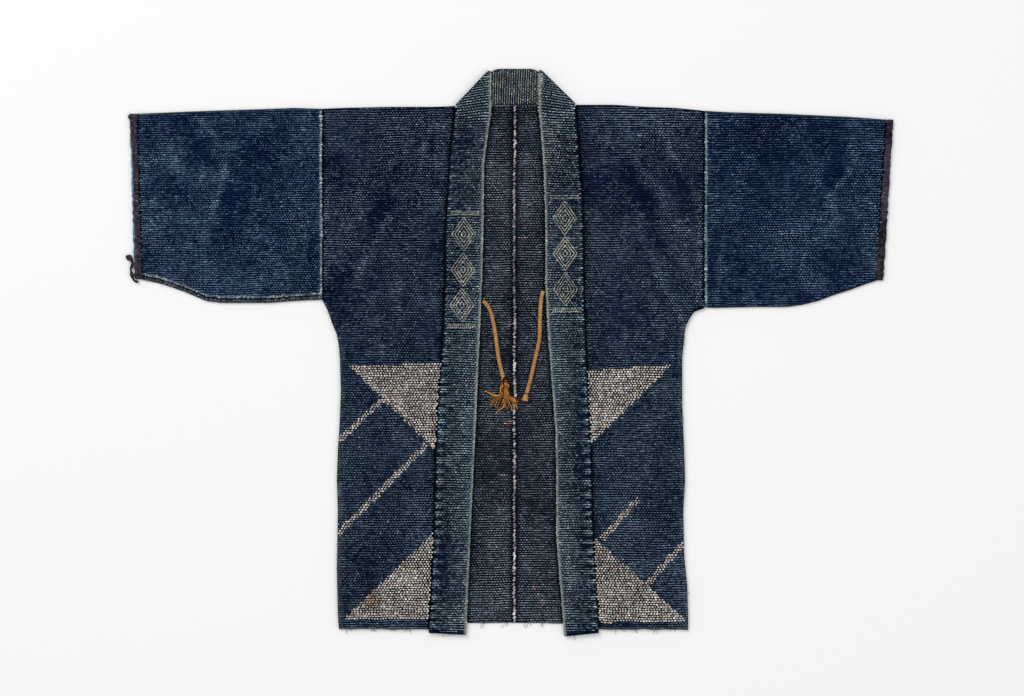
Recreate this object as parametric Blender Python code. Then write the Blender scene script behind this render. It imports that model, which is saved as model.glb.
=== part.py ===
"""Quilted cotton coat of open-fronted cut, laid flat with its front up.

Lengths in the tables are millimetres and become metres when a mesh is made.
+X is the wearer's left as laid out (the viewer's right), +Y the neck, +Z up.
The back lies on z = 0, the fronts on the back, the collar band on the fronts.
"""

import math

import bmesh
import bpy
import numpy as np
from mathutils import Vector
from mathutils.geometry import tessellate_polygon

MM = 0.001

# Cloth heights, from the surface up
BACK_WALL = 2.2
FRONT_FLOOR = 3.1
FRONT_TOP = 5.3
RIB_RISE = 0.6
FRONT_LOFT = 1.0
SLEEVE_LOFT = 1.4
SEAM_GAP = 0.3

# Stitch rows: one crest line and one valley line by turns
ROW_STEP = 3.8

# Shoulder and sleeve folds: outer and inner radius about one centre height
FOLD_CENTRE = 2.65
FOLD_OUTER = 2.65
FOLD_INNER = 0.45
OUTER_ARC_STEPS = 6
INNER_ARC_STEPS = 3

# Collar band
BAND_TURN_INNER = 0.45
BAND_TURN_CENTRE = 5.45
BAND_LOW = -2.8
BAND_RISE_FROM = 335.0
BAND_RISE_TO = 383.0
BAND_FAN_FROM = 387.0
BAND_FAN_RINGS = 18
BAND_ROLL_RINGS = 5
# Hem ends of each lapel: y at the sewn edge, y at the free edge
BAND_HEM_LEFT = (-453.6, -456.8)
BAND_HEM_RIGHT = (-453.6, -459.3)

# Hems
BACK_HEM = -438.0
FRONT_HEM = -448.0
FRONT_HEM_TURN = 6.0
CENTRE_SEAM = 8.1
NECK_LEFT_X = -88.2
NECK_RIGHT_X = 107.6
ARMHOLE_LEFT = -303.0
ARMHOLE_RIGHT = 316.0
NECK_SEAM_CENTRE = 399.9

# Rows: y, x of the body's side edge and armhole
SIDE_LEFT = (
    (-448.0, -276.2), (-425.3, -277.8), (-352.4, -279.5), (-255.2, -277.8), (-206.6, -279.5),
    (-158.0, -277.8), (-109.4, -274.6), (-60.8, -273.0), (-8.9, -274.6), (10.5, -276.2),
    (30.0, -279.5), (49.4, -287.6), (68.9, -294.0), (78.6, -298.9), (86.0, -302.7), (400.0, -302.7),
)
SIDE_RIGHT = (
    (-448.0, 289.2), (-425.3, 289.2), (-376.7, 287.6), (-328.1, 282.7), (-255.2, 281.1),
    (-206.6, 284.3), (-158.0, 282.7), (-85.1, 279.5), (-8.9, 279.5), (20.3, 282.7),
    (39.7, 284.3), (49.4, 287.6), (59.1, 292.4), (68.9, 298.9), (76.0, 315.7), (400.0, 315.7),
)
# Rows: y, x of the edge where a front meets the collar band
SEWN_LEFT = (
    (-453.6, -130.9), (-379.9, -126.0), (-283.8, -121.3), (-155.8, -118.1), (-75.8, -114.9),
    (-2.4, -108.5), (114.2, -103.8), (198.5, -102.9), (316.7, -95.6), (387.0, -87.6), (403.0, -84.4),
)
SEWN_RIGHT = (
    (-453.6, 144.7), (-348.0, 138.3), (-268.0, 133.5), (-171.9, 131.9), (-125.6, 130.2),
    (-75.3, 127.2), (20.3, 122.3), (80.7, 120.7), (198.5, 118.9), (242.2, 117.8),
    (328.9, 111.5), (387.0, 107.2), (403.0, 105.3),
)
# Rows: y, x of the collar band's free edge
FREE_LEFT = (
    (-456.8, -70.1), (-379.9, -66.9), (-235.7, -60.4), (-107.7, -54.1), (-2.4, -49.4),
    (114.2, -44.6), (198.5, -42.3), (304.1, -41.0), (361.1, -33.5), (387.0, -29.5),
)
FREE_RIGHT = (
    (-459.3, 88.6), (-379.9, 82.3), (-299.9, 75.8), (-203.8, 75.8), (-125.6, 74.4),
    (-50.1, 68.5), (45.0, 61.4), (114.2, 57.8), (198.5, 58.2), (291.6, 55.7),
    (341.3, 52.0), (387.0, 47.8),
)
# Rows: x, y of the folded shoulder edge
SHOULDER_LEFT = (
    (-608.3, 386.4), (-491.7, 391.2), (-388.0, 394.5), (-349.1, 396.1), (-303.8, 394.6),
    (-266.5, 396.1), (-193.6, 397.7), (-120.7, 397.7), (-87.5, 399.0),
)
SHOULDER_RIGHT = (
    (106.0, 401.0), (170.9, 401.0), (219.5, 397.7), (268.1, 396.1), (316.7, 391.2),
    (357.2, 389.0), (447.9, 386.4), (551.6, 381.5), (616.4, 376.7),
)
# Rows: x, y of the sleeve's bottom seam
UNDERARM_LEFT = (
    (-608.3, 120.7), (-569.4, 112.6), (-543.5, 104.5), (-517.6, 94.8), (-491.7, 83.4),
    (-465.8, 80.2), (-388.0, 80.2), (-349.1, 83.4), (-303.0, 85.5),
)
UNDERARM_RIGHT = (
    (316.0, 73.0), (331.0, 72.1), (396.1, 73.7), (447.9, 73.7), (473.9, 77.0),
    (499.8, 83.4), (525.7, 93.2), (551.6, 101.3), (577.5, 111.0), (603.5, 119.1),
)
# Rows: y, x of the cuff's outer edge
CUFF_LEFT = ((119.1, -606.7), (384.8, -614.8))
CUFF_RIGHT = ((117.5, 605.1), (375.0, 621.3))
CUFF_BAND = 11.4

# Rows: share of the sleeve's length from the armhole, height added to its top
SLEEVE_COLUMNS = (
    (0.0, -0.7), (0.009, 0.7), (0.022, 0.0), (0.28, 1.0), (0.54, 0.9),
    (0.63, 0.8), (0.74, 0.7), (1.0, 0.0),
)
# Sleeve's bottom edge: where the stitch rows start, then rows of distance in and height.
# The left one has a sewn lip with a hollow inside it, the right one is only rounded.
LIP_FROM = 10.5
LIP_ROWS = ((9.0, 5.1), (7.6, 4.3), (4.4, 5.0), (2.2, 4.8))
ROUND_FROM = 3.6
ROUND_ROWS = ((1.8, 4.7),)
EDGE_ROWS = ((0.4, 3.9), (0.0, 2.4), (0.4, 1.0))
UNDER_INSET = 2.2
INNER_INSET = 1.0
INNER_STEPS = 8

# Collar fold corners: inner line of the turn, from the sewn edge to the free edge
TURN_LEFT = ((-83.8, 396.9), (-29.8, 453.6))
TURN_RIGHT = ((103.3, 398.9), (46.4, 454.6))
NECK_STRIP_TOP = 459.3
NECK_STRIP_LEFT = -14.0
NECK_STRIP_RIGHT = 32.0

# Ties: points of the centre line (x, y), then height over the back's crests
TIE_RADIUS = 3.2
TIE_FLOOR = BACK_WALL + RIB_RISE
TIE_LEFT = (
    (-43.1, 83.6), (-37.8, 78.6), (-33.3, 72.0), (-29.4, 62.0), (-26.4, 50.0), (-24.0, 37.0),
    (-21.9, 23.0), (-20.0, 8.0), (-18.2, -6.0), (-15.4, -20.0), (-12.2, -33.0), (-9.4, -42.5),
)
TIE_RIGHT = (
    (54.4, 99.6), (51.8, 90.0), (50.4, 78.0), (49.7, 66.0), (49.3, 52.0), (49.0, 36.0),
    (48.0, 20.0), (44.6, 3.0), (40.8, -13.0), (37.4, -29.0), (33.6, -45.0), (29.4, -60.0),
    (27.6, -66.0),
)

# Tassel: fan of strands from the end of the left tie
TASSEL_HEAD = (-8.8, -42.3)
TASSEL_AIM = math.radians(-93.0)
TASSEL_SPREAD = math.radians(42.0)
TASSEL_COLUMNS = 14
TASSEL_HEAD_RADIUS = 6.0
TASSEL_LENGTH = 52.0
TASSEL_CORE_RADIUS = 1.6
TASSEL_BOW = 1.6
# Heights of the tassel's layers over the back's crests
TASSEL_LEVELS = (0.9, 3.3, 5.7)
# Rows: share of a strand's length, half thickness
STRAND_ROWS = ((0.06, 0.42), (0.5, 0.36), (1.0, 0.24))

# Knotted end of the right tie: start, direction, rows of distance along and radius
KNOT_START = (26.7, -68.5)
KNOT_AIM = (-0.24, -0.97)
KNOT_ROWS = ((0.0, 3.3), (2.2, 3.5), (4.4, 4.2), (6.8, 5.0), (8.8, 5.2), (9.8, 4.7))
KNOT_SIDES = 14
KNOT_LIFT = 0.5

# Loose thread at the lower corner of the left cuff: x, y, radius
THREAD_POINTS = (
    (-600.6, 114.4, 1.2), (-605.8, 115.2, 1.8), (-609.7, 120.6, 2.3), (-611.6, 128.0, 2.4),
    (-612.9, 135.6, 1.9), (-610.7, 141.0, 2.1), (-610.3, 146.4, 1.8), (-612.4, 150.6, 2.3),
    (-615.2, 153.0, 3.9), (-617.9, 154.8, 3.7), (-620.6, 156.2, 1.4),
)
THREAD_SIDES = 8


def clear_scene():
    """Take out every object so the coat is alone."""
    for item in list(bpy.data.objects):
        bpy.data.objects.remove(item, do_unlink=True)


def finish(name, colour, roughness):
    """A plain cloth or thread finish."""
    material = bpy.data.materials.new(name)
    material.use_nodes = True
    shader = material.node_tree.nodes["Principled BSDF"]
    shader.inputs["Base Color"].default_value = (*colour, 1.0)
    shader.inputs["Roughness"].default_value = roughness
    shader.inputs["Metallic"].default_value = 0.0
    return material


def along(table, at):
    """The second column of a table at a value of the first, straight between rows."""
    rows = sorted(table)
    return float(np.interp(at, [row[0] for row in rows], [row[1] for row in rows]))


def seam_rows(table, start, end):
    """Row positions from start to end that fall on every row of the seam's table."""
    stops = [start] + [row[0] for row in sorted(table) if start < row[0] < end] + [end]
    rows = [start]
    for low, high in zip(stops, stops[1:]):
        count = 2 * max(1, int(round((high - low) / ROW_STEP / 2.0)))
        rows += [low + (high - low) * k / count for k in range(1, count)] + [high]
    return rows


def smooth_step(value):
    """0 to 1 with level ends."""
    value = min(1.0, max(0.0, value))
    return value * value * (3.0 - 2.0 * value)


def rib(index, count):
    """Height of a stitch row's line: crest on odd lines, none at the ends."""
    if index <= 0 or index >= count:
        return 0.0
    return RIB_RISE if index % 2 else 0.0


class Skin:
    """Points and triangles of one closed sheet, laid line by line."""

    def __init__(self):
        """Start with no points."""
        self.points = []
        self.faces = []

    def line(self, points, marks):
        """Add a line of points; marks say how far along each one is."""
        first = len(self.points)
        self.points.extend(points)
        return list(zip(range(first, first + len(points)), marks))

    def bridge(self, one, two):
        """Fill between two lines with triangles, stepping along both by their marks."""
        i = 0
        j = 0
        while i < len(one) - 1 or j < len(two) - 1:
            step_one = j >= len(two) - 1
            if i < len(one) - 1 and j < len(two) - 1:
                step_one = one[i + 1][1] <= two[j + 1][1]
            if step_one:
                self.faces.append((one[i][0], one[i + 1][0], two[j][0]))
                i += 1
            else:
                self.faces.append((one[i][0], two[j + 1][0], two[j][0]))
                j += 1

    def cap(self, ring):
        """Close a flat ring of point numbers with triangles."""
        loop = [Vector(self.points[i]) for i in ring]
        for a, b, c in tessellate_polygon([loop]):
            self.faces.append((ring[a], ring[b], ring[c]))

    def build(self, name, material, smooth=False):
        """Make the object in metres, faces turned outward."""
        mesh = bpy.data.meshes.new(name)
        corners = [tuple(float(c) * MM for c in point) for point in self.points]
        mesh.from_pydata(corners, [], [face for face in self.faces if len(set(face)) == 3])
        work = bmesh.new()
        work.from_mesh(mesh)
        bmesh.ops.recalc_face_normals(work, faces=work.faces)
        if work.calc_volume(signed=True) < 0.0:
            bmesh.ops.reverse_faces(work, faces=work.faces)
        work.to_mesh(mesh)
        work.free()
        if smooth:
            mesh.shade_smooth()
        mesh.materials.append(material)
        item = bpy.data.objects.new(name, mesh)
        bpy.context.scene.collection.objects.link(item)
        return item


def fold_arc(x, y_edge, radius, steps):
    """Points round a fold from its under side up to its top side, ends left out."""
    centre_y = y_edge - FOLD_OUTER
    turns = [-math.pi / 2.0 + math.pi * k / steps for k in range(1, steps)]
    return [
        (x, centre_y + radius * math.cos(turn), FOLD_CENTRE + radius * math.sin(turn))
        for turn in turns
    ]


def body(name, material, side, sewn, shoulder, neck_x, facing):
    """One length of cloth: back, fold over the shoulder, front.

    facing is +1 where the centre lies towards +X of the side seam, else -1.
    """
    skin = Skin()
    columns = (0.0, 0.5, 1.0)
    fold_x = (along(side, 399.0), 0.5 * (along(side, 399.0) + neck_x), neck_x)
    fold_y = [along(shoulder, x) for x in fold_x]

    def column_x(share, y):
        edge = along(sewn, y) - facing * SEAM_GAP
        edge = min(edge, neck_x) if facing > 0 else max(edge, neck_x)
        return along(side, y) + share * (edge - along(side, y))

    def loft(share, y):
        way = (y - FRONT_HEM) / (fold_y[1] - FRONT_HEM)
        return FRONT_LOFT * math.sin(math.pi * share) * math.sin(math.pi * min(1.0, max(0.0, way)))

    kept = [row[0] for row in side + sewn if BACK_HEM + 8.0 < row[0] < 384.0]
    stations = sorted(set(kept))
    centre_x = CENTRE_SEAM - facing * SEAM_GAP / 2.0
    tops = [y - FOLD_OUTER for y in fold_y] + [NECK_SEAM_CENTRE]
    back_rows = 2 * int(round((NECK_SEAM_CENTRE - BACK_HEM) / ROW_STEP / 2.0))
    front_rows = 2 * int(round((tops[1] - FRONT_HEM) / ROW_STEP / 2.0))

    def back_x(column, y):
        return centre_x if column == 3 else column_x(columns[column], y)

    under = []
    inner = []
    for column in range(4):
        ys = [BACK_HEM] + stations + [tops[column]]
        under.append(skin.line([(back_x(column, y), y, 0.0) for y in ys], ys))
        if column < 2:
            inner.append(skin.line([(back_x(column, y), y, BACK_WALL) for y in ys], ys))
        else:
            span = tops[column] - BACK_HEM
            fine = [BACK_HEM + span * k / back_rows for k in range(back_rows + 1)]
            points = [
                (back_x(column, y), y, BACK_WALL + rib(k, back_rows)) for k, y in enumerate(fine)
            ]
            inner.append(skin.line(points, fine))
    for left, right in ((0, 1), (1, 2), (2, 3)):
        skin.bridge(under[left], under[right])
        skin.bridge(inner[left], inner[right])
    skin.bridge(under[0], inner[0])
    skin.bridge(under[3], inner[3])
    skin.bridge([(row[0][0], k) for k, row in enumerate(under)],
                [(row[0][0], k) for k, row in enumerate(inner)])
    skin.bridge([(row[-1][0], k) for k, row in enumerate(under[2:])],
                [(row[-1][0], k) for k, row in enumerate(inner[2:])])

    tops_out = []
    tops_in = []
    for column, share in enumerate(columns):
        span = tops[column] - FRONT_HEM
        fine = [tops[column] - span * k / front_rows for k in range(front_rows + 1)]
        points = []
        for k, y in enumerate(fine):
            height = FRONT_TOP + rib(k, front_rows) + loft(share, y)
            points.append((column_x(share, y), y, height))
        tops_out.append(skin.line(points, [-y for y in fine]))
        ys = [tops[column]] + stations[::-1] + [FRONT_HEM + FRONT_HEM_TURN, FRONT_HEM]
        points = [(column_x(share, y), y, FRONT_FLOOR + loft(share, y)) for y in ys]
        tops_in.append(skin.line(points, [-y for y in ys]))
    arcs_out = []
    arcs_in = []
    for column in range(3):
        outer = fold_arc(fold_x[column], fold_y[column], FOLD_OUTER, OUTER_ARC_STEPS)
        line = skin.line(outer, range(1, OUTER_ARC_STEPS))
        arcs_out.append(
            [(under[column][-1][0], 0)] + line + [(tops_out[column][0][0], OUTER_ARC_STEPS)]
        )
        folded = fold_arc(fold_x[column], fold_y[column], FOLD_INNER, INNER_ARC_STEPS)
        marks = [k * OUTER_ARC_STEPS / INNER_ARC_STEPS for k in range(1, INNER_ARC_STEPS)]
        line = skin.line(folded, marks)
        arcs_in.append(
            [(inner[column][-1][0], 0)] + line + [(tops_in[column][0][0], OUTER_ARC_STEPS)]
        )
    for left, right in ((0, 1), (1, 2)):
        skin.bridge(tops_out[left], tops_out[right])
        skin.bridge(tops_in[left], tops_in[right])
        skin.bridge(arcs_out[left], arcs_out[right])
        skin.bridge(arcs_in[left], arcs_in[right])
    for column in (0, 2):
        skin.bridge(tops_out[column], tops_in[column])
        skin.bridge(arcs_out[column], arcs_in[column])
    skin.bridge([(row[-1][0], k) for k, row in enumerate(tops_out)],
                [(row[-1][0], k) for k, row in enumerate(tops_in)])
    return skin.build(name, material)


def sleeve(name, material, armhole_x, shoulder, underarm, cuff, facing, lipped):
    """A flattened tube: fold along the top, seam along the bottom, both ends open."""
    skin = Skin()
    rows_from, edge_rows = (LIP_FROM, LIP_ROWS) if lipped else (ROUND_FROM, ROUND_ROWS)
    longest = along(shoulder, armhole_x) - along(underarm, armhole_x)
    outers = []
    inners = []
    for share, rise in SLEEVE_COLUMNS:
        def column_x(y, share=share):
            end = along(cuff, y) - facing * (CUFF_BAND + SEAM_GAP)
            return armhole_x + share * (end - armhole_x)

        bottom = along(underarm, column_x(100.0))
        top = along(shoulder, column_x(385.0))
        base = top - FOLD_OUTER
        start = bottom + UNDER_INSET
        points = [(column_x(start), start, 0.0)]
        marks = [0.0]
        for share_up in (0.33, 0.67, 1.0):
            y = start + share_up * (base - start)
            points.append((column_x(y), y, 0.0))
            marks.append(share_up)
        arc = fold_arc(column_x(top), top, FOLD_OUTER, OUTER_ARC_STEPS)
        points += arc
        marks += [1.0 + k / OUTER_ARC_STEPS for k in range(1, OUTER_ARC_STEPS)]
        low = bottom + rows_from
        rows = int((base - low) / ROW_STEP - 0.5) + 1
        for k in range(rows + 1):
            y = base - ROW_STEP * k if k < rows else low
            way = math.sin(math.pi * k / rows)
            lift = rise * SLEEVE_LOFT * way if rise > 0.0 and share > 0.02 else rise
            points.append((column_x(y), y, FRONT_TOP + rib(k, rows) + lift))
            marks.append(2.0 + (base - y) / longest)
        turned = edge_rows + EDGE_ROWS
        for count, (inset, height) in enumerate(turned):
            y = bottom + inset
            points.append((column_x(y), y, height))
            marks.append(3.0 + (count + 1.0) / (len(turned) + 1.0))
        outers.append(skin.line(points, marks))

        inner_low = bottom + rows_from + INNER_INSET
        points = []
        marks = []
        for share_up in (0.0, 0.33, 0.67, 1.0):
            y = inner_low + share_up * (base - inner_low)
            points.append((column_x(y), y, BACK_WALL))
            marks.append(share_up)
        points += fold_arc(column_x(top), top, FOLD_INNER, INNER_ARC_STEPS)
        marks += [1.0 + k / INNER_ARC_STEPS for k in range(1, INNER_ARC_STEPS)]
        for k in range(INNER_STEPS + 1):
            y = base - (base - inner_low) * k / INNER_STEPS
            way = math.sin(math.pi * k / INNER_STEPS)
            lift = rise * SLEEVE_LOFT * way if rise > 0.0 and share > 0.02 else 0.0
            points.append((column_x(y), y, FRONT_FLOOR + lift))
            marks.append(2.0 + k / INNER_STEPS)
        inners.append(skin.line(points, marks))

    def closed(line):
        return line + [(line[0][0], 4.0)]

    for ring in (outers, inners):
        for one, two in zip(ring, ring[1:]):
            skin.bridge(closed(one), closed(two))
    skin.bridge(closed(outers[0]), closed(inners[0]))
    skin.bridge(closed(outers[-1]), closed(inners[-1]))
    return skin.build(name, material)


def cuff_binding(name, material, shoulder, underarm, cuff, facing):
    """A whipped edge: a flattened ring that carries on from the end of the sleeve."""
    skin = Skin()
    # Rows: share of the band's width from the sleeve, height of its top, draw-in of its edges
    sections = ((0.0, 5.4, 0.3), (0.25, 6.2, -0.3), (0.75, 6.2, -0.3), (1.0, 4.8, 0.5))
    lumps = 44
    outers = []
    inners = []
    for share, height, draw in sections:
        def edge_x(y, share=share):
            return along(cuff, y) - facing * CUFF_BAND * (1.0 - share)

        bottom = along(underarm, edge_x(100.0)) + draw
        top = along(shoulder, edge_x(385.0)) - draw
        points = [(edge_x(bottom + 2.0), bottom + 2.0, 0.0), (edge_x(top - 2.0), top - 2.0, 0.0)]
        marks = [0.0, 1.0]
        points += [(edge_x(top), top, 1.6), (edge_x(top), top, height - 1.8)]
        marks += [1.3, 1.6]
        for k in range(lumps + 1):
            y = top - 1.8 - (top - bottom - 3.6) * k / lumps
            crest = 0.5 if k % 2 and 0.0 < share < 1.0 else 0.0
            points.append((edge_x(y), y, height + crest))
            marks.append(2.0 + k / lumps)
        points += [(edge_x(bottom), bottom, height - 1.8), (edge_x(bottom), bottom, 1.6)]
        marks += [3.3, 3.6]
        outers.append(skin.line(points, marks))
        low = bottom + 7.0
        high = top - 5.0
        points = [
            (edge_x(low), low, BACK_WALL), (edge_x(high), high, BACK_WALL),
            (edge_x(high + 0.6), high + 0.6, FOLD_CENTRE), (edge_x(high), high, FRONT_FLOOR),
            (edge_x(low), low, FRONT_FLOOR), (edge_x(low - 0.6), low - 0.6, FOLD_CENTRE),
        ]
        inners.append(skin.line(points, (0.0, 1.0, 1.5, 2.0, 3.0, 3.5)))

    def closed(line):
        return line + [(line[0][0], 4.0)]

    for ring in (outers, inners):
        for one, two in zip(ring, ring[1:]):
            skin.bridge(closed(one), closed(two))
    skin.bridge(closed(outers[0]), closed(inners[0]))
    skin.bridge(closed(outers[-1]), closed(inners[-1]))
    return skin.build(name, material)


def lapel_rings(sewn, free, turn, outward, bottom_sewn, bottom_free):
    """Cross-sections of the band from a front's hem up to and round the neck fold.

    Each ring is (sewn point, free point, turn angle, outward direction, lift).
    """
    rings = []
    for y_sewn in seam_rows(sewn, bottom_sewn, BAND_FAN_FROM):
        share = (y_sewn - bottom_sewn) / (BAND_FAN_FROM - bottom_sewn)
        y_free = bottom_free + share * (BAND_FAN_FROM - bottom_free)
        start = (along(sewn, y_sewn), y_sewn)
        end = (along(free, y_free), y_free)
        rise = smooth_step((y_sewn - BAND_RISE_FROM) / (BAND_RISE_TO - BAND_RISE_FROM))
        rings.append((start, end, math.pi / 2.0, outward, BAND_LOW * (1.0 - rise)))
    base_start, base_end = rings[-1][0], rings[-1][1]
    for k in range(1, BAND_FAN_RINGS + 1):
        share = k / BAND_FAN_RINGS
        start = tuple(a + share * (b - a) for a, b in zip(base_start, turn[0]))
        end = tuple(a + share * (b - a) for a, b in zip(base_end, turn[1]))
        rings.append((start, end, math.pi / 2.0, outward, 0.0))
    for k in range(1, BAND_ROLL_RINGS + 1):
        angle = math.pi / 2.0 - math.pi * k / (BAND_ROLL_RINGS + 1)
        rings.append((turn[0], turn[1], angle, outward, 0.0))
    return rings


def neck_rings(turn_left, turn_right):
    """Cross-sections of the band behind the neck, outer face down, left to right."""
    down = -math.pi / 2.0
    low_left = (NECK_STRIP_LEFT, NECK_SEAM_CENTRE + SEAM_GAP)
    low_right = (NECK_STRIP_RIGHT, NECK_SEAM_CENTRE + SEAM_GAP)
    high_left = (NECK_STRIP_LEFT, NECK_STRIP_TOP)
    high_right = (NECK_STRIP_RIGHT, NECK_STRIP_TOP)
    rings = []

    def run(start_low, start_high, end_low, end_high, count, first, ease):
        for k in range(first, count + 1):
            share = k / count
            low = tuple(a + share * (b - a) for a, b in zip(start_low, end_low))
            high_x = start_high[0] + share * (end_high[0] - start_high[0])
            climb = ease(share)
            high = (high_x, start_high[1] + climb * (end_high[1] - start_high[1]))
            rings.append((low, high, down, (0.0, 1.0), 0.0))

    def early(share):
        return 1.0 - (1.0 - share) ** 2.5

    def late(share):
        return share ** 2.5

    run(turn_left[0], turn_left[1], low_left, high_left, BAND_FAN_RINGS, 0, early)
    straight = int(round((NECK_STRIP_RIGHT - NECK_STRIP_LEFT) / ROW_STEP))
    run(low_left, high_left, low_right, high_right, straight, 1, early)
    run(low_right, high_right, turn_right[0], turn_right[1], BAND_FAN_RINGS, 1, late)
    return rings


def collar_band(name, material):
    """The folded band as one solid: left front, turn, neck, turn, right front."""
    slant = math.sqrt(0.5)
    left = lapel_rings(SEWN_LEFT, FREE_LEFT, TURN_LEFT, (-slant, slant), *BAND_HEM_LEFT)
    right = lapel_rings(SEWN_RIGHT, FREE_RIGHT, TURN_RIGHT, (slant, slant), *BAND_HEM_RIGHT)
    neck = neck_rings(TURN_LEFT, TURN_RIGHT)
    rings = left + neck + right[::-1]
    flat_to = len(left) - BAND_ROLL_RINGS
    flat_from = len(rings) - flat_to
    last = len(rings) - 1

    # Rows: share of the width, inset from that share, height, rib share, on every ring
    profile = (
        (0.0, 0.0, 0.0, 0.0, False), (0.0, 0.0, 2.2, 0.0, False), (0.0, 1.0, 2.5, 0.0, False),
        (0.0, 0.0, 2.8, 0.0, False), (0.0, 0.0, 4.3, 0.4, True), (0.0, 3.5, 5.0, 1.0, True),
        (1.0, -4.0, 5.0, 1.0, True), (1.0, 0.0, 2.6, 0.0, True),
        (1.0, -2.6, 0.0, 0.0, False),
    )

    stops = {row[0] for row in SEWN_LEFT + SEWN_RIGHT}

    def coarse(index):
        near_fold = flat_to - BAND_FAN_RINGS - 6 <= index <= flat_from + BAND_FAN_RINGS + 6
        on_stop = rings[index][0][1] in stops
        return near_fold or on_stop or index in (0, last)

    def place(index, row):
        share, inset, height, ribbed, _ = row
        start, end, angle, outward, lift = rings[index]
        width = math.dist(start, end)
        way = ((end[0] - start[0]) / width, (end[1] - start[1]) / width)
        reach = share * width + inset
        turned = flat_to <= index < flat_from
        crest = RIB_RISE if index % 2 and index not in (0, last) else 0.0
        if not turned:
            height = height + ribbed * crest
        elif angle < -1.5 and height == 0.0:
            height = -crest
        radius = BAND_TURN_INNER + height
        flat = radius * math.cos(angle)
        x = start[0] + reach * way[0] + flat * outward[0]
        y = start[1] + reach * way[1] + flat * outward[1]
        return (x, y, BAND_TURN_CENTRE + lift + radius * math.sin(angle))

    skin = Skin()
    lines = []
    for row in profile:
        marks = [k for k in range(len(rings)) if row[4] or coarse(k)]
        lines.append(skin.line([place(k, row) for k in marks], marks))
    for one, two in zip(lines, lines[1:] + lines[:1]):
        skin.bridge(one, two)
    skin.cap([line[0][0] for line in lines])
    skin.cap([line[-1][0] for line in lines])
    return skin.build(name, material)


def tie(name, material, table):
    """A cord laid on the back, from the band's free edge."""
    curve = bpy.data.curves.new(name, "CURVE")
    curve.dimensions = "3D"
    curve.bevel_depth = TIE_RADIUS * MM
    curve.bevel_resolution = 3
    curve.use_fill_caps = True
    spline = curve.splines.new("POLY")
    spline.points.add(len(table) - 1)
    height = TIE_FLOOR + SEAM_GAP + TIE_RADIUS
    for point, (x, y) in zip(spline.points, table):
        point.co = (x * MM, y * MM, height * MM, 1.0)
    curve.materials.append(material)
    item = bpy.data.objects.new(name, curve)
    bpy.context.scene.collection.objects.link(item)
    return item


def tassel(name, material):
    """Frayed cord end: strands in two layers that spread from one flat head."""
    skin = Skin()
    levels = tuple(TIE_FLOOR + level for level in TASSEL_LEVELS)
    head_x, head_y = TASSEL_HEAD
    columns = TASSEL_COLUMNS

    def rim(column, radius, height):
        angle = TASSEL_AIM + TASSEL_SPREAD * (column / columns - 0.5) * 2.0
        return (head_x + radius * math.cos(angle), head_y + radius * math.sin(angle), height)

    rims = [
        skin.line([rim(c, TASSEL_HEAD_RADIUS, height) for c in range(columns + 1)], range(columns + 1))
        for height in levels
    ]
    backs = [
        skin.line([rim(c, TASSEL_CORE_RADIUS, height) for c in range(columns + 1)], range(columns + 1))
        for height in (levels[0], levels[-1])
    ]
    skin.bridge(rims[0], backs[0])
    skin.bridge(rims[-1], backs[1])
    skin.bridge(backs[0], backs[1])
    for end in (0, -1):
        skin.faces.append((rims[0][end][0], rims[1][end][0], backs[0][end][0]))
        skin.faces.append((rims[1][end][0], backs[1][end][0], backs[0][end][0]))
        skin.faces.append((rims[1][end][0], rims[2][end][0], backs[1][end][0]))

    source = np.random.default_rng(7)
    for layer in range(2):
        for column in range(columns):
            corners = [
                rims[layer][column][0], rims[layer][column + 1][0],
                rims[layer + 1][column + 1][0], rims[layer + 1][column][0],
            ]
            middle = np.mean([skin.points[i] for i in corners], axis=0)
            share = (column + 0.5) / columns
            angle = TASSEL_AIM + TASSEL_SPREAD * (share - 0.5) * 2.0
            length = TASSEL_LENGTH * (0.72 + 0.28 * math.sin(math.pi * share))
            length *= 1.0 + source.uniform(-0.12, 0.1)
            droop = levels[0] + 0.9 if layer == 0 else levels[0] + 2.9
            ring = corners
            for reach, half in STRAND_ROWS:
                bow = TASSEL_BOW * math.sin(math.pi * reach)
                centre = np.array([
                    middle[0] + length * reach * math.cos(angle) + bow * math.sin(angle),
                    middle[1] + length * reach * math.sin(angle) - bow * math.cos(angle),
                    middle[2] + (droop - middle[2]) * smooth_step(reach * 1.4),
                ])
                across = np.array([-math.sin(angle), math.cos(angle), 0.0]) * half
                upward = np.array([0.0, 0.0, half])
                square = [
                    centre - across - upward, centre + across - upward,
                    centre + across + upward, centre - across + upward,
                ]
                line = [index for index, _ in skin.line([tuple(p) for p in square], range(4))]
                for k in range(4):
                    a, b = ring[k], ring[(k + 1) % 4]
                    c, d = line[(k + 1) % 4], line[k]
                    skin.faces.append((a, b, c))
                    skin.faces.append((a, c, d))
                ring = line
            skin.faces.append((ring[0], ring[1], ring[2]))
            skin.faces.append((ring[0], ring[2], ring[3]))
    return skin.build(name, material)


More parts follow.
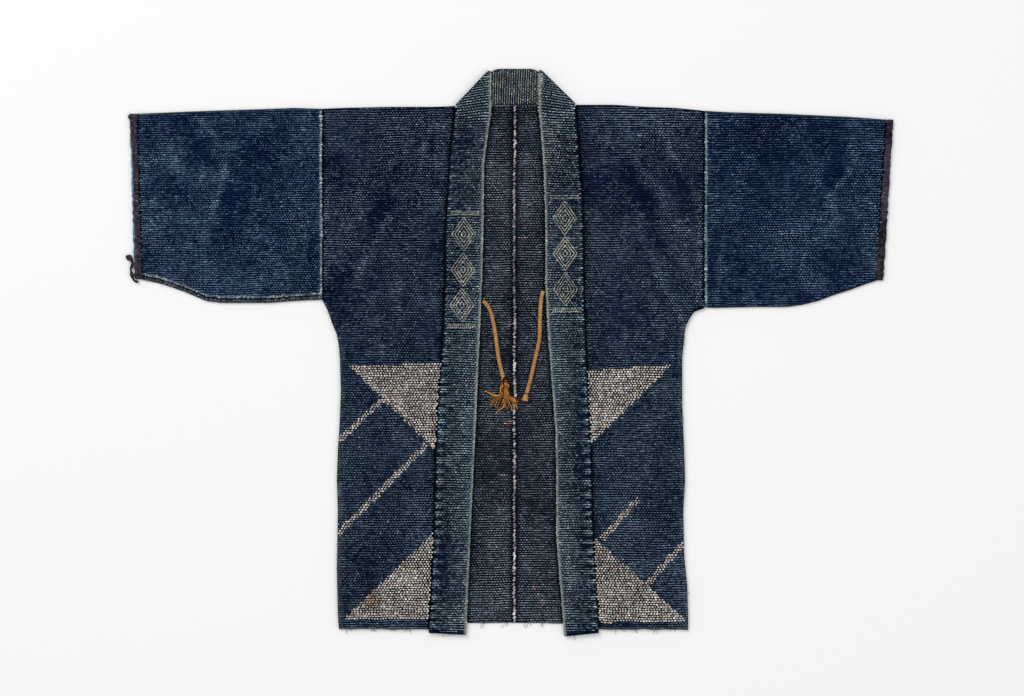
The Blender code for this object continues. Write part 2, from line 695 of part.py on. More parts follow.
def tube(skin, rings_spec, sides):
    """A closed tube through (centre, radius) rings in the plane of the surface."""
    rings = []
    centres = [np.array(spec[0], float) for spec in rings_spec]
    for k, (centre, radius) in enumerate(rings_spec):
        ahead = centres[min(k + 1, len(centres) - 1)] - centres[max(k - 1, 0)]
        ahead[2] = 0.0
        ahead /= np.linalg.norm(ahead)
        across = np.cross(ahead, (0.0, 0.0, 1.0))
        across /= np.linalg.norm(across)
        rise = np.cross(across, ahead)
        points = []
        for side in range(sides):
            turn = 2.0 * math.pi * side / sides
            offset = across * math.cos(turn) + rise * math.sin(turn)
            points.append(tuple(np.array(centre) + offset * radius))
        rings.append(skin.line(points, range(sides)))
    for one, two in zip(rings, rings[1:]):
        skin.bridge(one + [(one[0][0], sides)], two + [(two[0][0], sides)])
    skin.cap([index for index, _ in rings[0]])
    skin.cap([index for index, _ in rings[-1]])


def tie_knot(name, material):
    """The right tie's end: wound thread that flares to a flat cut end."""
    skin = Skin()
    spec = []
    for reach, radius in KNOT_ROWS:
        x, y = np.array(KNOT_START) + np.array(KNOT_AIM) * reach
        spec.append(((x, y, TIE_FLOOR + KNOT_LIFT + radius), radius))
    tube(skin, spec, KNOT_SIDES)
    return skin.build(name, material, smooth=True)


def cuff_thread(name, material):
    """Knotted end of the thread that whips the left cuff."""
    skin = Skin()
    spec = [((x, y, radius + 0.4), radius) for x, y, radius in THREAD_POINTS]
    tube(skin, spec, THREAD_SIDES)
    return skin.build(name, material, smooth=True)


def main():
    """Build the coat piece by piece."""
    clear_scene()
    indigo = (0.030, 0.055, 0.110)
    body("body_left", finish("indigo_body_left", indigo, 0.92), SIDE_LEFT, SEWN_LEFT,
         SHOULDER_LEFT, NECK_LEFT_X, 1)
    body("body_right", finish("indigo_body_right", indigo, 0.92), SIDE_RIGHT, SEWN_RIGHT,
         SHOULDER_RIGHT, NECK_RIGHT_X, -1)
    sleeve("sleeve_left", finish("indigo_sleeve_left", (0.018, 0.040, 0.090), 0.92),
           ARMHOLE_LEFT, SHOULDER_LEFT, UNDERARM_LEFT, CUFF_LEFT, -1, True)
    sleeve("sleeve_right", finish("indigo_sleeve_right", (0.018, 0.040, 0.090), 0.92),
           ARMHOLE_RIGHT, SHOULDER_RIGHT, UNDERARM_RIGHT, CUFF_RIGHT, 1, False)
    collar_band("collar_band", finish("indigo_collar", (0.050, 0.075, 0.095), 0.92))
    cuff_binding("cuff_binding_left", finish("dark_binding_left", (0.028, 0.018, 0.022), 0.85),
                 SHOULDER_LEFT, UNDERARM_LEFT, CUFF_LEFT, -1)
    cuff_binding("cuff_binding_right", finish("dark_binding_right", (0.028, 0.018, 0.022), 0.85),
                 SHOULDER_RIGHT, UNDERARM_RIGHT, CUFF_RIGHT, 1)
    tie("tie_left", finish("ochre_tie_left", (0.42, 0.25, 0.10), 0.8), TIE_LEFT)
    tie("tie_right", finish("ochre_tie_right", (0.42, 0.25, 0.10), 0.8), TIE_RIGHT)
    tassel("tie_left_tassel", finish("ochre_tassel", (0.40, 0.22, 0.07), 0.8))
    tie_knot("tie_right_knot", finish("ochre_knot", (0.42, 0.25, 0.10), 0.8))
    cuff_thread("cuff_thread_left", finish("dark_thread", (0.028, 0.018, 0.022), 0.85))


main()
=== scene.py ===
"""A quilted fireman's coat laid out flat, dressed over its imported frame.

Lengths are in millimetres until a mesh is made. X runs along the sleeves, Y from the
hem to the collar and Z up from the table. Left is the side on the viewer's left.
"""
import logging
import math
from collections.abc import Callable
from dataclasses import dataclass, field
from enum import Enum
from typing import ClassVar

import bmesh
import bpy
import numpy as np
from numpy.typing import NDArray
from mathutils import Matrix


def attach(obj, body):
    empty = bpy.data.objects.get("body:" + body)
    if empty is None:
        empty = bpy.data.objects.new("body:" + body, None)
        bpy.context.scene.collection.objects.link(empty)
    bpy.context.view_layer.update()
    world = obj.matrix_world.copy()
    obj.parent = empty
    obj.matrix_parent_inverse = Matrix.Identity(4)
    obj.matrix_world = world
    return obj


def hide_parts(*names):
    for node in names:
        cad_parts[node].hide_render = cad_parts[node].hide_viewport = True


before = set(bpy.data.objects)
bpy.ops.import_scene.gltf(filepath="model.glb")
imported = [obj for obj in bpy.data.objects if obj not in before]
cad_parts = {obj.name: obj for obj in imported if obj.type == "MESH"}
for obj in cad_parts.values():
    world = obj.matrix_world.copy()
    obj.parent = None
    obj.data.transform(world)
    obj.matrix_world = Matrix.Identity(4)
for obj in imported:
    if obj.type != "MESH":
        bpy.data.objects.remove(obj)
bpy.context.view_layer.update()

Array = NDArray[np.float64]
Colour = tuple[float, float, float]
Point = tuple[float, float]
Item = bpy.types.Object
Edge = Callable[[Array], Array]

log = logging.getLogger("coat")

MM = 0.001
LINES_PER_ROW = 4
VALLEY_SHADE = 0.08
ROW_STRETCH = 5.5
HUE_SPREAD = 0.035
MARK_RELIEF = 2.4

# Cloth layers
ROW_PITCH = 3.8
STITCH_PITCH = 4.7
BACK_TOP = 2.2
FRONT_LOW = 3.1
FRONT_TOP = 5.3
RIDGE_RISE = 0.5
UNDER_RISE = 0.35
UNDER_FACE = 0.42
FOLD_RADIUS = 2.65
INNER_SEAM = 2.2
FRONT_HEM = -448.0
BACK_HEM = -438.0
BODY_TOP = 396.0
NECK_X = (-88.2, 107.6)
CENTRE_SEAM = 8.1
SEAM_GAP = 0.15
ABOVE_FRONT = 402.0
OPEN_SIDE_TO = 80.0

# Collar band
BAND_LOW = -2.8
BAND_CENTRE = 5.45
BAND_INNER = 0.45
BAND_THICK = 5.0
BAND_FAN_FROM = 387.0
BAND_RISE_FROM = 335.0
BAND_RISE_TO = 383.0
BAND_TILT = 0.16
BAND_TILT_FROM = 372.0
BAND_HEMS = ((-453.6, -456.8), (-453.6, -459.3))
LOZENGE_SPANS = ((48.0, 220.0), (74.0, 246.0))
NECK_FROM = 399.0
NECK_SEAM_Y = 400.2
NECK_TOP_Y = 459.3
NECK_LEFT_X = -14.0
NECK_RIGHT_X = 32.0

# Sleeves
ARMHOLES = (-303.0, 316.0)
ARMHOLE_RIDGE = 2.1
SLEEVE_TALL = 314.0
CUFF_INSET = 11.7
BLUE_CUFF = (142.0, 346.0)
# A sleeve's lower edge: where its rows start, then rows of distance in and height
LIP_INSET = 10.5
LIP_STOPS = (
    (0.0, 3.2), (0.4, 3.9), (2.2, 4.8), (4.4, 5.0), (7.0, 4.2), (9.0, 5.1), (10.5, FRONT_TOP),
)
LIP_LINES = (0.4, 1.3, 2.2, 3.3, 4.4, 5.6, 6.4, 7.0, 7.8, 8.5, 9.2)
ROUND_INSET = 3.6
ROUND_STOPS = ((0.0, 3.2), (0.4, 3.9), (1.8, 4.7), (3.6, FRONT_TOP))
ROUND_LINES = (0.4, 1.1, 1.8, 2.7)

# Cords
TIE_RADIUS = 3.2
TIE_HEIGHT = 6.3


def linear(red: float, green: float, blue: float) -> Colour:
    """A display colour, 0 to 255, as a linear one."""
    parts = (c / 255.0 for c in (red, green, blue))
    return tuple(c / 12.92 if c <= 0.04045 else ((c + 0.055) / 1.055) ** 2.4 for c in parts)


def smooth_step(value: Array) -> Array:
    """0 to 1 with level ends."""
    value = np.clip(value, 0.0, 1.0)
    return value * value * (3.0 - 2.0 * value)


def bell(away: Array, width: float) -> Array:
    """1 in the middle, falling to little at twice the width."""
    return np.exp(-((away / width) ** 2))


def mix(one: Array, two: Array, share: Array) -> Array:
    """Colours that go from one to two by the share of each place."""
    return one * (1.0 - share[:, None]) + two * share[:, None]


def join(x: Array, y: Array, z: Array | float) -> Array:
    """Points from their X, Y and Z."""
    return np.stack(np.broadcast_arrays(x, y, z), -1)


class Hand(Enum):
    """The side of the coat, by the sign of X."""

    LEFT = -1.0
    RIGHT = 1.0


class Facing(Enum):
    """Which way a stitch stands out of the cloth."""

    UP = 1.0
    DOWN = -1.0


@dataclass(frozen=True)
class Seam:
    """A line on the laid coat: one place for each value of the other."""

    stops: tuple[Point, ...]

    def at(self, where: Array) -> Array:
        """The place at a value, straight between stops."""
        rows = np.array(self.stops)
        return np.interp(where, rows[:, 0], rows[:, 1])

    def moved(self, by: float) -> "Seam":
        """The same line, moved over."""
        return Seam(tuple((where, place + by) for where, place in self.stops))


@dataclass(frozen=True)
class Cloud:
    """Soft random patches over the laid coat, from -1 to 1."""

    seed: int
    cell: float
    net: int = 96

    def at(self, x: Array | float, y: Array | float) -> Array:
        """Random heights on a square net, blended smoothly between its knots.

        Args:
            x: Places across.
            y: Places along.

        Returns:
            The blend at each place.
        """
        knots = np.random.default_rng(self.seed).uniform(-1.0, 1.0, (self.net, self.net))
        u = np.asarray(x) / self.cell + self.net / 2.0
        v = np.asarray(y) / self.cell + self.net / 2.0
        i, j = np.floor(u).astype(int), np.floor(v).astype(int)
        s, t = smooth_step(u - i), smooth_step(v - j)
        i0, i1, j0, j1 = i % self.net, (i + 1) % self.net, j % self.net, (j + 1) % self.net
        low = knots[i0, j0] * (1.0 - s) + knots[i1, j0] * s
        high = knots[i0, j1] * (1.0 - s) + knots[i1, j1] * s
        return low * (1.0 - t) + high * t


ARMHOLE_WANDER = Cloud(13, 60.0)


@dataclass(frozen=True)
class Crease:
    """A soft trough or ridge along a straight line, uneven and gone at its ends."""

    start: Point
    end: Point
    width: float
    height: float

    def at(self, x: Array, y: Array) -> Array:
        """A bell across the line, a half wave along it, with a slow unevenness.

        Args:
            x: Places across.
            y: Places along.

        Returns:
            The height added there.
        """
        run = np.array(self.end) - np.array(self.start)
        length = float(np.hypot(*run))
        dx, dy = x - self.start[0], y - self.start[1]
        share = (dx * run[0] + dy * run[1]) / length**2
        off = (dx * run[1] - dy * run[0]) / length
        off = off + 0.25 * self.width * np.sin(9.0 * share + self.start[0])
        along = np.sqrt(np.sin(np.pi * np.clip(share, 0.0, 1.0)))
        uneven = 1.0 + 0.3 * np.sin(13.0 * share + self.start[1])
        return self.height * along * uneven * bell(off, self.width)


@dataclass(frozen=True)
class Patch:
    """A soft round place where the dye has changed."""

    x: float
    y: float
    reach_x: float
    reach_y: float
    share: float

    def at(self, x: Array, y: Array) -> Array:
        """A bell over the place, from 0 to the share."""
        away = ((x - self.x) / self.reach_x) ** 2 + ((y - self.y) / self.reach_y) ** 2
        return self.share * np.exp(-away)


Marks = tuple[Patch | Crease, ...]


def creases(*rows: tuple[float, ...]) -> Marks:
    """Creases from rows of two ends, a width and a height."""
    return tuple(Crease(row[:2], row[2:4], *row[4:]) for row in rows)


def patches(*rows: tuple[float, ...]) -> Marks:
    """Patches from rows of a place, two reaches and a share."""
    return tuple(Patch(*row) for row in rows)


def strongest(marks: Marks, x: Array, y: Array) -> Array:
    """The largest share that any mark has at each place, or 0."""
    return np.maximum.reduce([np.zeros(np.shape(x)), *(mark.at(x, y) for mark in marks)])


@dataclass(frozen=True)
class Dye:
    """A display colour of thread or cloth, between its deep and its worn state."""

    deep: Colour
    worn: Colour
    wear: float = 0.4
    drift: float = 0.25
    spread: float = 0.2
    flicker: float = 0.2
    seed: int = 1
    marks: Marks = ()

    def tones(self, x: Array, y: Array, fading: Array | float = 0.0) -> Array:
        """Deep and worn mixed by clouds, clouds drawn out along the rows, marks and chance.

        Args:
            x: Places across.
            y: Places along.
            fading: A change of wear worked out elsewhere; for the band's gathers and the tassel's core it
                also holds painted light and shade.

        Returns:
            A linear colour for each place.
        """
        share = self.wear + fading
        for weight, later, cell, stretch in (
            (1.0, 0, 90.0, 1.0), (0.6, 50, 28.0, 1.0), (0.8, 90, 9.0, 1.0), (0.35, 70, 22.0, ROW_STRETCH),
        ):
            cloud = Cloud(self.seed + later, cell).at(x, stretch * np.asarray(y))
            share = share + weight * self.drift * cloud
        # The sleeve and front marks also shape the cloth, so this paints raised places paler and sunken
        # ones darker: partly fading, partly painted light and shade.
        for mark in self.marks:
            share = share + mark.at(x, y)
        rng = np.random.default_rng(self.seed)
        share = share + self.spread * rng.normal(size=np.shape(x))
        glow = np.exp(self.flicker * rng.normal(size=np.shape(x)))[..., None]
        tint = 1.0 + HUE_SPREAD * rng.normal(size=(*np.shape(x), 3))
        share = np.clip(share, 0.0, 1.4)[..., None]
        deep, worn = (np.array(linear(*colour)) for colour in (self.deep, self.worn))
        mixed = deep * (1.0 - share) + worn * share
        return np.clip(mixed * glow * tint, 0.0, 1.0)


def make_mesh(name: str, points: Array, faces: Array, closed: bool = False) -> Item:
    """An object from points in millimetres and triangles.

    Args:
        name: The piece's name.
        points: One row of three for each point.
        faces: Three point numbers for each triangle.
        closed: Whether the skin is closed, so that its faces can be turned outwards.

    Returns:
        The new object, at the origin.
    """
    used = faces[np.all(faces != np.roll(faces, 1, axis=1), axis=1)]
    mesh = bpy.data.meshes.new(name)
    mesh.vertices.add(len(points))
    mesh.vertices.foreach_set("co", (points * MM).astype(np.float32).ravel())
    mesh.loops.add(used.size)
    mesh.loops.foreach_set("vertex_index", used.astype(np.int32).ravel())
    mesh.polygons.add(len(used))
    mesh.polygons.foreach_set("loop_start", np.arange(0, used.size, 3, dtype=np.int32))
    mesh.update(calc_edges=True)
    if closed:
        work = bmesh.new()
        work.from_mesh(mesh)
        bmesh.ops.recalc_face_normals(work, faces=work.faces)
        if work.calc_volume(signed=True) < 0.0:
            bmesh.ops.reverse_faces(work, faces=work.faces)
        work.to_mesh(mesh)
        work.free()
    mesh.shade_smooth()
    item = bpy.data.objects.new(name, mesh)
    bpy.context.scene.collection.objects.link(item)
    return item


def points_of(item: Item) -> tuple[Array, Array, Array]:
    """X, Y and Z of a piece's points, in millimetres.

    Args:
        item: The piece.

    Returns:
        One row for each of the three.
    """
    flat = np.empty(len(item.data.vertices) * 3, dtype=np.float32)
    item.data.vertices.foreach_get("co", flat)
    return tuple((flat.reshape(-1, 3).astype(float) / MM).T)


def paint(item: Item, tones: Array) -> None:
    """Give every point of a piece its linear colour.

    Args:
        item: The piece.
        tones: One row of three for each point.
    """
    layer = item.data.color_attributes.new("tone", "FLOAT_COLOR", "POINT")
    colours = np.ones((len(item.data.vertices), 4), dtype=np.float32)
    colours[:, :3] = tones
    layer.data.foreach_set("color", colours.ravel())


def grid_faces(index: Array) -> list[Array]:
    """Two triangles for each square of a grid of point numbers."""
    a, b, c, d = index[:-1, :-1], index[:-1, 1:], index[1:, 1:], index[1:, :-1]
    return [np.stack(three, -1).reshape(-1, 3) for three in ([a, b, c], [a, c, d])]


class Patchwork:
    """Grids of points sewn edge to edge into one skin."""

    def __init__(self) -> None:
        """Start with no cloth."""
        self.points: list[Array] = []
        self.faces: list[Array] = []
        self.count = 0

    def add(self, grid: Array, closed: bool = False) -> Array:
        """Lay a grid of points and fill it with triangles.

        Args:
            grid: Points by line, then by column.
            closed: Whether the last column meets the first.

        Returns:
            The point numbers, in the grid's shape.
        """
        lines, columns = grid.shape[:2]
        index = np.arange(lines * columns).reshape(lines, columns) + self.count
        self.points.append(grid.reshape(-1, 3))
        self.count += lines * columns
        self.faces += grid_faces(np.concatenate([index, index[:, :1]], axis=1) if closed else index)
        return index

    def line(self, x: Array, y: Array, z: Array | float) -> Array:
        """Lay a single line of points and return their numbers."""
        return self.add(join(x, y, z)[:, None, :])[:, 0]

    def folds(self, x: Array, shoulder: Seam) -> list[Array]:
        """Lay the lines that carry the cloth round the shoulder's fold.

        Args:
            x: Places across.
            shoulder: The fold's outer line.

        Returns:
            The point numbers of each line.
        """
        lines = []
        for turn in np.radians([50.0, 12.0, -25.0, -60.0]):
            y = shoulder.at(x) - FOLD_RADIUS * (1.0 - math.cos(turn))
            lines.append(self.line(x, y, FOLD_RADIUS * (1.0 + math.sin(turn))))
        return lines

    def zip(self, one: Array, two: Array) -> None:
        """Fill between two lines, stepping along both by their share of the length.

        Args:
            one: Point numbers of a line.
            two: Point numbers of the line beside it, in the same direction.
        """
        one, two = np.asarray(one), np.asarray(two)
        every = np.concatenate(self.points)
        marks = []
        for numbers in (one, two):
            steps = np.linalg.norm(np.diff(every[numbers], axis=0), axis=1) + 1e-9
            marks.append(np.cumsum(steps) / steps.sum())
        order = np.argsort(np.concatenate(marks), kind="stable")
        first = order < len(one) - 1
        i = np.cumsum(first) - first
        j = np.cumsum(~first) - ~first
        step_one = np.minimum(i + 1, len(one) - 1)
        step_two = np.minimum(j + 1, len(two) - 1)
        third = np.where(first, one[step_one], two[step_two])
        self.faces.append(np.stack([one[i], third, two[j]], axis=1))

    def chain(self, lines: list[Array]) -> None:
        """Fill between each line and the next."""
        for one, two in zip(lines, lines[1:]):
            self.zip(one, two)

    def caps(self, index: Array, turn: int) -> None:
        """Fill both ends of a closed profile, folded at one of its columns."""
        for ring in (index[0], index[-1]):
            self.zip(ring[:turn], np.concatenate([ring[:1], ring[: turn - 2 : -1]]))

    def build(self, name: str) -> Item:
        """Make the closed skin one object."""
        return make_mesh(name, np.concatenate(self.points), np.concatenate(self.faces), True)


PAD_POINTS = np.array([
    (-0.5, 0.0, 0.0), (0.5, 0.0, 0.0), (-0.34, -0.5, 0.0), (0.34, -0.5, 0.0),
    (0.34, 0.5, 0.0), (-0.34, 0.5, 0.0), (-0.36, 0.0, 1.0), (0.36, 0.0, 1.0),
])
PAD_FACES = np.array([
    (0, 2, 6), (2, 3, 7), (2, 7, 6), (3, 1, 7), (1, 4, 7), (4, 5, 6), (4, 6, 7), (5, 0, 6),
])
LOW_POINTS = np.array([
    (-0.5, 0.0, 0.0), (0.0, -0.5, 0.0), (0.5, 0.0, 0.0), (0.0, 0.5, 0.0), (0.0, 0.0, 1.0),
])
LOW_FACES = np.array([(0, 1, 4), (1, 2, 4), (2, 3, 4), (3, 0, 4)])
STITCH_SINK = 0.25


@dataclass
class Stitches:
    """Many short stitches on one face of the cloth, each a low pad of thread."""

    name: str
    places: Array
    tones: Array
    turn: Array | float = 0.0
    length: float = 4.15
    width: float = 1.4
    height: float = 0.5
    uneven: float = 0.15
    facing: Facing = Facing.UP
    seed: int = 5

    def build(self) -> Item:
        """Carry one small pad to every place: turned, scaled and set into the cloth.

        Returns:
            The stitches as one object.
        """
        up = self.facing is Facing.UP
        shape, faces = (PAD_POINTS, PAD_FACES) if up else (LOW_POINTS, LOW_FACES[:, ::-1])
        count = len(self.places)
        rng = np.random.default_rng(self.seed)
        sizes = np.exp(self.uneven * rng.normal(size=(count, 3)))
        sizes *= np.array([self.length, self.width, self.height])
        sizes[:, 0] *= 1.0 + 0.25 * Cloud(self.seed + 3, 26.0).at(*self.places[:, :2].T)
        local = shape[None] * sizes[:, None, :]
        local[..., 2] -= STITCH_SINK * (shape[:, 2] < 0.5)
        turn = self.turn + 0.07 * rng.normal(size=count)
        cos, sin = np.cos(turn)[:, None], np.sin(turn)[:, None]
        x, y, z = np.moveaxis(local, -1, 0)
        points = join(x * cos - y * sin, x * sin + y * cos, z * self.facing.value)
        points = points + self.places[:, None, :]
        numbers = np.arange(count)[:, None, None] * len(shape) + faces[None]
        item = make_mesh(self.name, points.reshape(-1, 3), numbers.reshape(-1, 3))
        paint(item, np.repeat(self.tones, len(shape), axis=0))
        return item


@dataclass(frozen=True)
class Quilting:
    """Rows of running stitch, each row half a stitch on from its neighbour."""

    pitch: float = ROW_PITCH
    stitch: float = STITCH_PITCH
    sway: float = 1.7
    seed: int = 11
    upright: bool = False

    def shift(self, x: Array, y: Array) -> Array:
        """How far a row has wandered from its ruled line."""
        small = Cloud(self.seed + 1, 24.0).at(x, y)
        return self.sway * (Cloud(self.seed, 120.0).at(x, y) + 0.4 * small)

    def shade(self, x: Array, y: Array) -> Array:
        """Painted shade between rows: 1 on a row and little in the valleys."""
        return VALLEY_SHADE + (1.0 - VALLEY_SHADE) * self.ridge(x, y)[..., None]

    def ridge(self, x: Array, y: Array) -> Array:
        """1 on a row's line and 0 halfway to the next, as a cosine."""
        x, y = (y, x) if self.upright else (x, y)
        return 0.5 + 0.5 * np.cos(2.0 * np.pi * (y - self.shift(x, y)) / self.pitch)

    def under(self, x: Array, y: Array) -> Array:
        """Height of a quilted face that lies on the table."""
        return UNDER_FACE + UNDER_RISE * (1.0 - self.ridge(x, y))

    def places(self, low: Point, high: Point) -> tuple[Array, Array]:
        """The middles of all stitches in a box, in a brick lattice that drifts a little.

        Args:
            low: The box's lowest X and Y.
            high: The box's highest X and Y.

        Returns:
            X and Y of every stitch.
        """
        if self.upright:
            low, high = low[::-1], high[::-1]
        row = np.arange(math.floor(low[1] / self.pitch) - 1, math.ceil(high[1] / self.pitch) + 2)
        step = np.arange(math.floor(low[0] / self.stitch) - 2, math.ceil(high[0] / self.stitch) + 3)
        rows, steps = np.meshgrid(row, step, indexing="ij")
        rng = np.random.default_rng(self.seed)
        late = 0.45 * rng.normal(size=(len(row), 1))
        x = (steps + 0.5 * (rows % 2)) * self.stitch + late + 0.3 * rng.normal(size=steps.shape)
        x = x + 2.2 * Cloud(self.seed + 3, 150.0).at(x, rows * self.pitch)
        y = rows * self.pitch
        y = y + self.shift(x, y) + 0.16 * rng.normal(size=steps.shape)
        keep = (x > low[0]) & (x < high[0]) & (y > low[1]) & (y < high[1])
        return (y[keep], x[keep]) if self.upright else (x[keep], y[keep])


# Finishes

Socket = bpy.types.NodeSocket


class Shading:
    """A matt material and a short way to add nodes to it."""

    def __init__(self, name: str) -> None:
        """Start a material of the given name.

        Args:
            name: The name.
        """
        self.made = bpy.data.materials.new(name)
        self.made.use_nodes = True
        self.shader = self.made.node_tree.nodes["Principled BSDF"]

    def fill(self, node: bpy.types.Node, values: dict) -> None:
        """Set or link a node's inputs, each by its name or number.

        Args:
            node: The node.
            values: A value or a socket for each input.
        """
        for key, value in values.items():
            if isinstance(value, Socket):
                self.made.node_tree.links.new(value, node.inputs[key])
            else:
                node.inputs[key].default_value = value

    def node(self, kind: str, out: str | int, values: dict, **options: str) -> Socket:
        """Add a node and return one of its outputs.

        Args:
            kind: The node's type, without its prefix.
            out: The name or number of the output.
            values: Its inputs.
            options: Its settings.

        Returns:
            The output socket.
        """
        node = self.made.node_tree.nodes.new(f"ShaderNode{kind}")
        for name, option in options.items():
            setattr(node, name, option)
        self.fill(node, values)
        return node.outputs[out]

    def noise(self, place: Socket, scale: float, detail: float) -> Socket:
        """Fractal noise of the given scale."""
        return self.node("TexNoise", "Fac", {"Scale": scale, "Detail": detail, "Vector": place})


@dataclass(frozen=True)
class Finish:
    """Cotton: the point colour, mottled by one texture and raised by another."""

    name: str
    roughness: float = 0.9
    sheen: float = 0.01
    specular: float = 0.03
    mottle: float = 0.3
    depth: float = 0.15
    strength: float = 0.6

    def textures(self, work: Shading, place: Socket) -> tuple[Socket, Socket]:
        """The texture that mottles the colour and the one that raises the surface."""
        raise NotImplementedError

    def material(self) -> bpy.types.Material:
        """Scale the point colour by one texture and raise the other.

        Returns:
            The material.
        """
        work = Shading(self.name)
        mottling, height = self.textures(work, work.node("TexCoord", "Object", {}))
        tone = work.node("Attribute", "Color", {}, attribute_name="tone")
        limits = {"To Min": 1.0 - self.mottle, "To Max": 1.0 + self.mottle}
        share = work.node("MapRange", "Result", {"Value": mottling, **limits})
        bump = {"Distance": self.depth * MM, "Strength": self.strength, "Height": height}
        work.fill(work.shader, {
            "Roughness": self.roughness,
            "Sheen Weight": self.sheen,
            "Specular IOR Level": self.specular,
            "Base Color": work.node("VectorMath", "Vector", {0: tone, "Scale": share}, operation="SCALE"),
            "Normal": work.node("Bump", "Normal", bump),
        })
        return work.made


@dataclass(frozen=True)
class ClothFinish(Finish):
    """Dyed cotton: a plain weave and a little fuzz."""

    roughness: float = 0.95
    sheen: float = 0.0
    specular: float = 0.01
    mottle: float = 0.35
    depth: float = 0.12
    strength: float = 0.7
    weave: float = 0.9

    def textures(self, work: Shading, place: Socket) -> tuple[Socket, Socket]:
        """Fine noise mottles the dye, and two crossed waves raise the weave.

        Args:
            work: The material.
            place: The place of each point, from its node.

        Returns:
            The mottling and the height.
        """
        wave = {"Scale": 314.0 / self.weave, "Distortion": 0.6, "Vector": place}
        waves = {k: work.node("TexWave", "Fac", wave, bands_direction="XY"[k]) for k in (0, 1)}
        weave = work.node("Math", 0, waves, operation="MULTIPLY")
        fuzz = work.noise(place, 900.0, 2.0)
        height = work.node("Math", 0, {0: weave, 1: fuzz}, operation="ADD")
        return work.noise(place, 420.0, 3.0), height


@dataclass(frozen=True)
class ThreadFinish(Finish):
    """Soft cotton thread with twisted strands."""

    strand: float = 700.0
    stretch: tuple[float, float, float] = (0.5, 2.2, 1.0)

    def textures(self, work: Shading, place: Socket) -> tuple[Socket, Socket]:
        """One noise, drawn out along the stitch, does both.

        Args:
            work: The material.
            place: The place of each point, from its node.

        Returns:
            The mottling and the height.
        """
        drawn = work.node("Mapping", "Vector", {"Scale": self.stretch, "Vector": place})
        noise = work.noise(drawn, self.strand, 2.0)
        return noise, noise


@dataclass
class Wardrobe:
    """The finishes shared by the pieces, and how a piece is put on the frame."""

    cloth: bpy.types.Material
    thread: bpy.types.Material
    cord: bpy.types.Material
    binding: bpy.types.Material

    def dress(self, item: Item, finish: bpy.types.Material, slot: str, stands_for: str = "") -> Item:
        """Give a piece its finish and its body, and hide the node that it stands for.

        Args:
            item: The piece.
            finish: Its material.
            slot: The record's material slot, not used.
            stands_for: The node that the piece replaces, or nothing.

        Returns:
            The same piece.
        """
        item.data.materials.append(finish)
        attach(item, "root")
        if stands_for:
            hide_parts(stands_for)
        log.info("%s: %d faces", item.name, len(item.data.polygons))
        return item

    def sew(self, stitches: Stitches, slot: str) -> None:
        """Build a batch of stitches in its slot's thread."""
        finish = self.binding if slot == "dark_binding" else self.thread
        self.dress(stitches.build(), finish, slot)


# Pattern of the quilting


@dataclass(frozen=True)
class Shape:
    """A plain straight-sided figure, its corners going round either way."""

    corners: tuple[Point, ...]

    def holds(self, x: Array, y: Array) -> Array:
        """Whether places lie inside, by counting the sides that a ray crosses.

        Args:
            x: Places across.
            y: Places along.

        Returns:
            True where they do.
        """
        inside = np.zeros(np.shape(x), dtype=bool)
        for (ax, ay), (bx, by) in zip(self.corners, self.corners[1:] + self.corners[:1]):
            between = (ay > y) != (by > y)
            cross = ax + (y - ay) * (bx - ax) / ((by - ay) or 1e-9)
            inside ^= between & (x < cross)
        return inside


@dataclass(frozen=True)
class Bar:
    """A straight band between two points."""

    start: Point
    end: Point
    width: float = 9.0

    def holds(self, x: Array, y: Array) -> Array:
        """Whether places lie within half the width of the line.

        Args:
            x: Places across.
            y: Places along.

        Returns:
            True where they do.
        """
        run = np.array(self.end) - np.array(self.start)
        length = float(np.hypot(*run))
        dx, dy = x - self.start[0], y - self.start[1]
        along = (dx * run[0] + dy * run[1]) / length
        off = np.abs(dx * run[1] - dy * run[0]) / length
        return (off < self.width / 2.0) & (along > 0.0) & (along < length)


@dataclass(frozen=True)
class Lozenges:
    """Nested lozenges in running stitch, one above another between level lines."""

    middle: Seam
    low: float
    high: float
    count: int = 3
    half_width: float = 20.0
    sizes: tuple[float, ...] = (0.96, 0.72, 0.48, 0.2)
    spacing: float = 3.3

    def stitches(self) -> tuple[Array, Array, Array]:
        """Stitches at an even step along every straight side.

        Returns:
            X, Y and direction of each stitch.
        """
        tall = (self.high - self.low) / self.count / 2.0
        sides = []
        for k in range(self.count):
            y = self.low + (2 * k + 1) * tall
            x = float(self.middle.at(y))
            for size in self.sizes:
                wide, high = size * self.half_width, size * tall
                corners = [(x + wide, y), (x, y + high), (x - wide, y), (x, y - high)]
                sides += list(zip(corners, corners[1:] + corners[:1]))
        reach = 1.12 * self.half_width
        for level in (self.low - 3.5, self.low - 7.5, self.high + 3.5, self.high + 7.5):
            x = float(self.middle.at(level))
            sides.append(((x - reach, level), (x + reach, level)))
        places, turns = [], []
        for start, end in sides:
            length = math.dist(start, end)
            steps = np.arange(max(1, round(length / self.spacing)))[:, None] + 0.5
            share = np.minimum(steps * self.spacing / length, 1.0)
            places.append(np.array(start) + share * (np.array(end) - np.array(start)))
            turns.append(np.full(len(share), math.atan2(end[1] - start[1], end[0] - start[0])))
        x, y = np.concatenate(places).T
        return x, y, np.concatenate(turns)
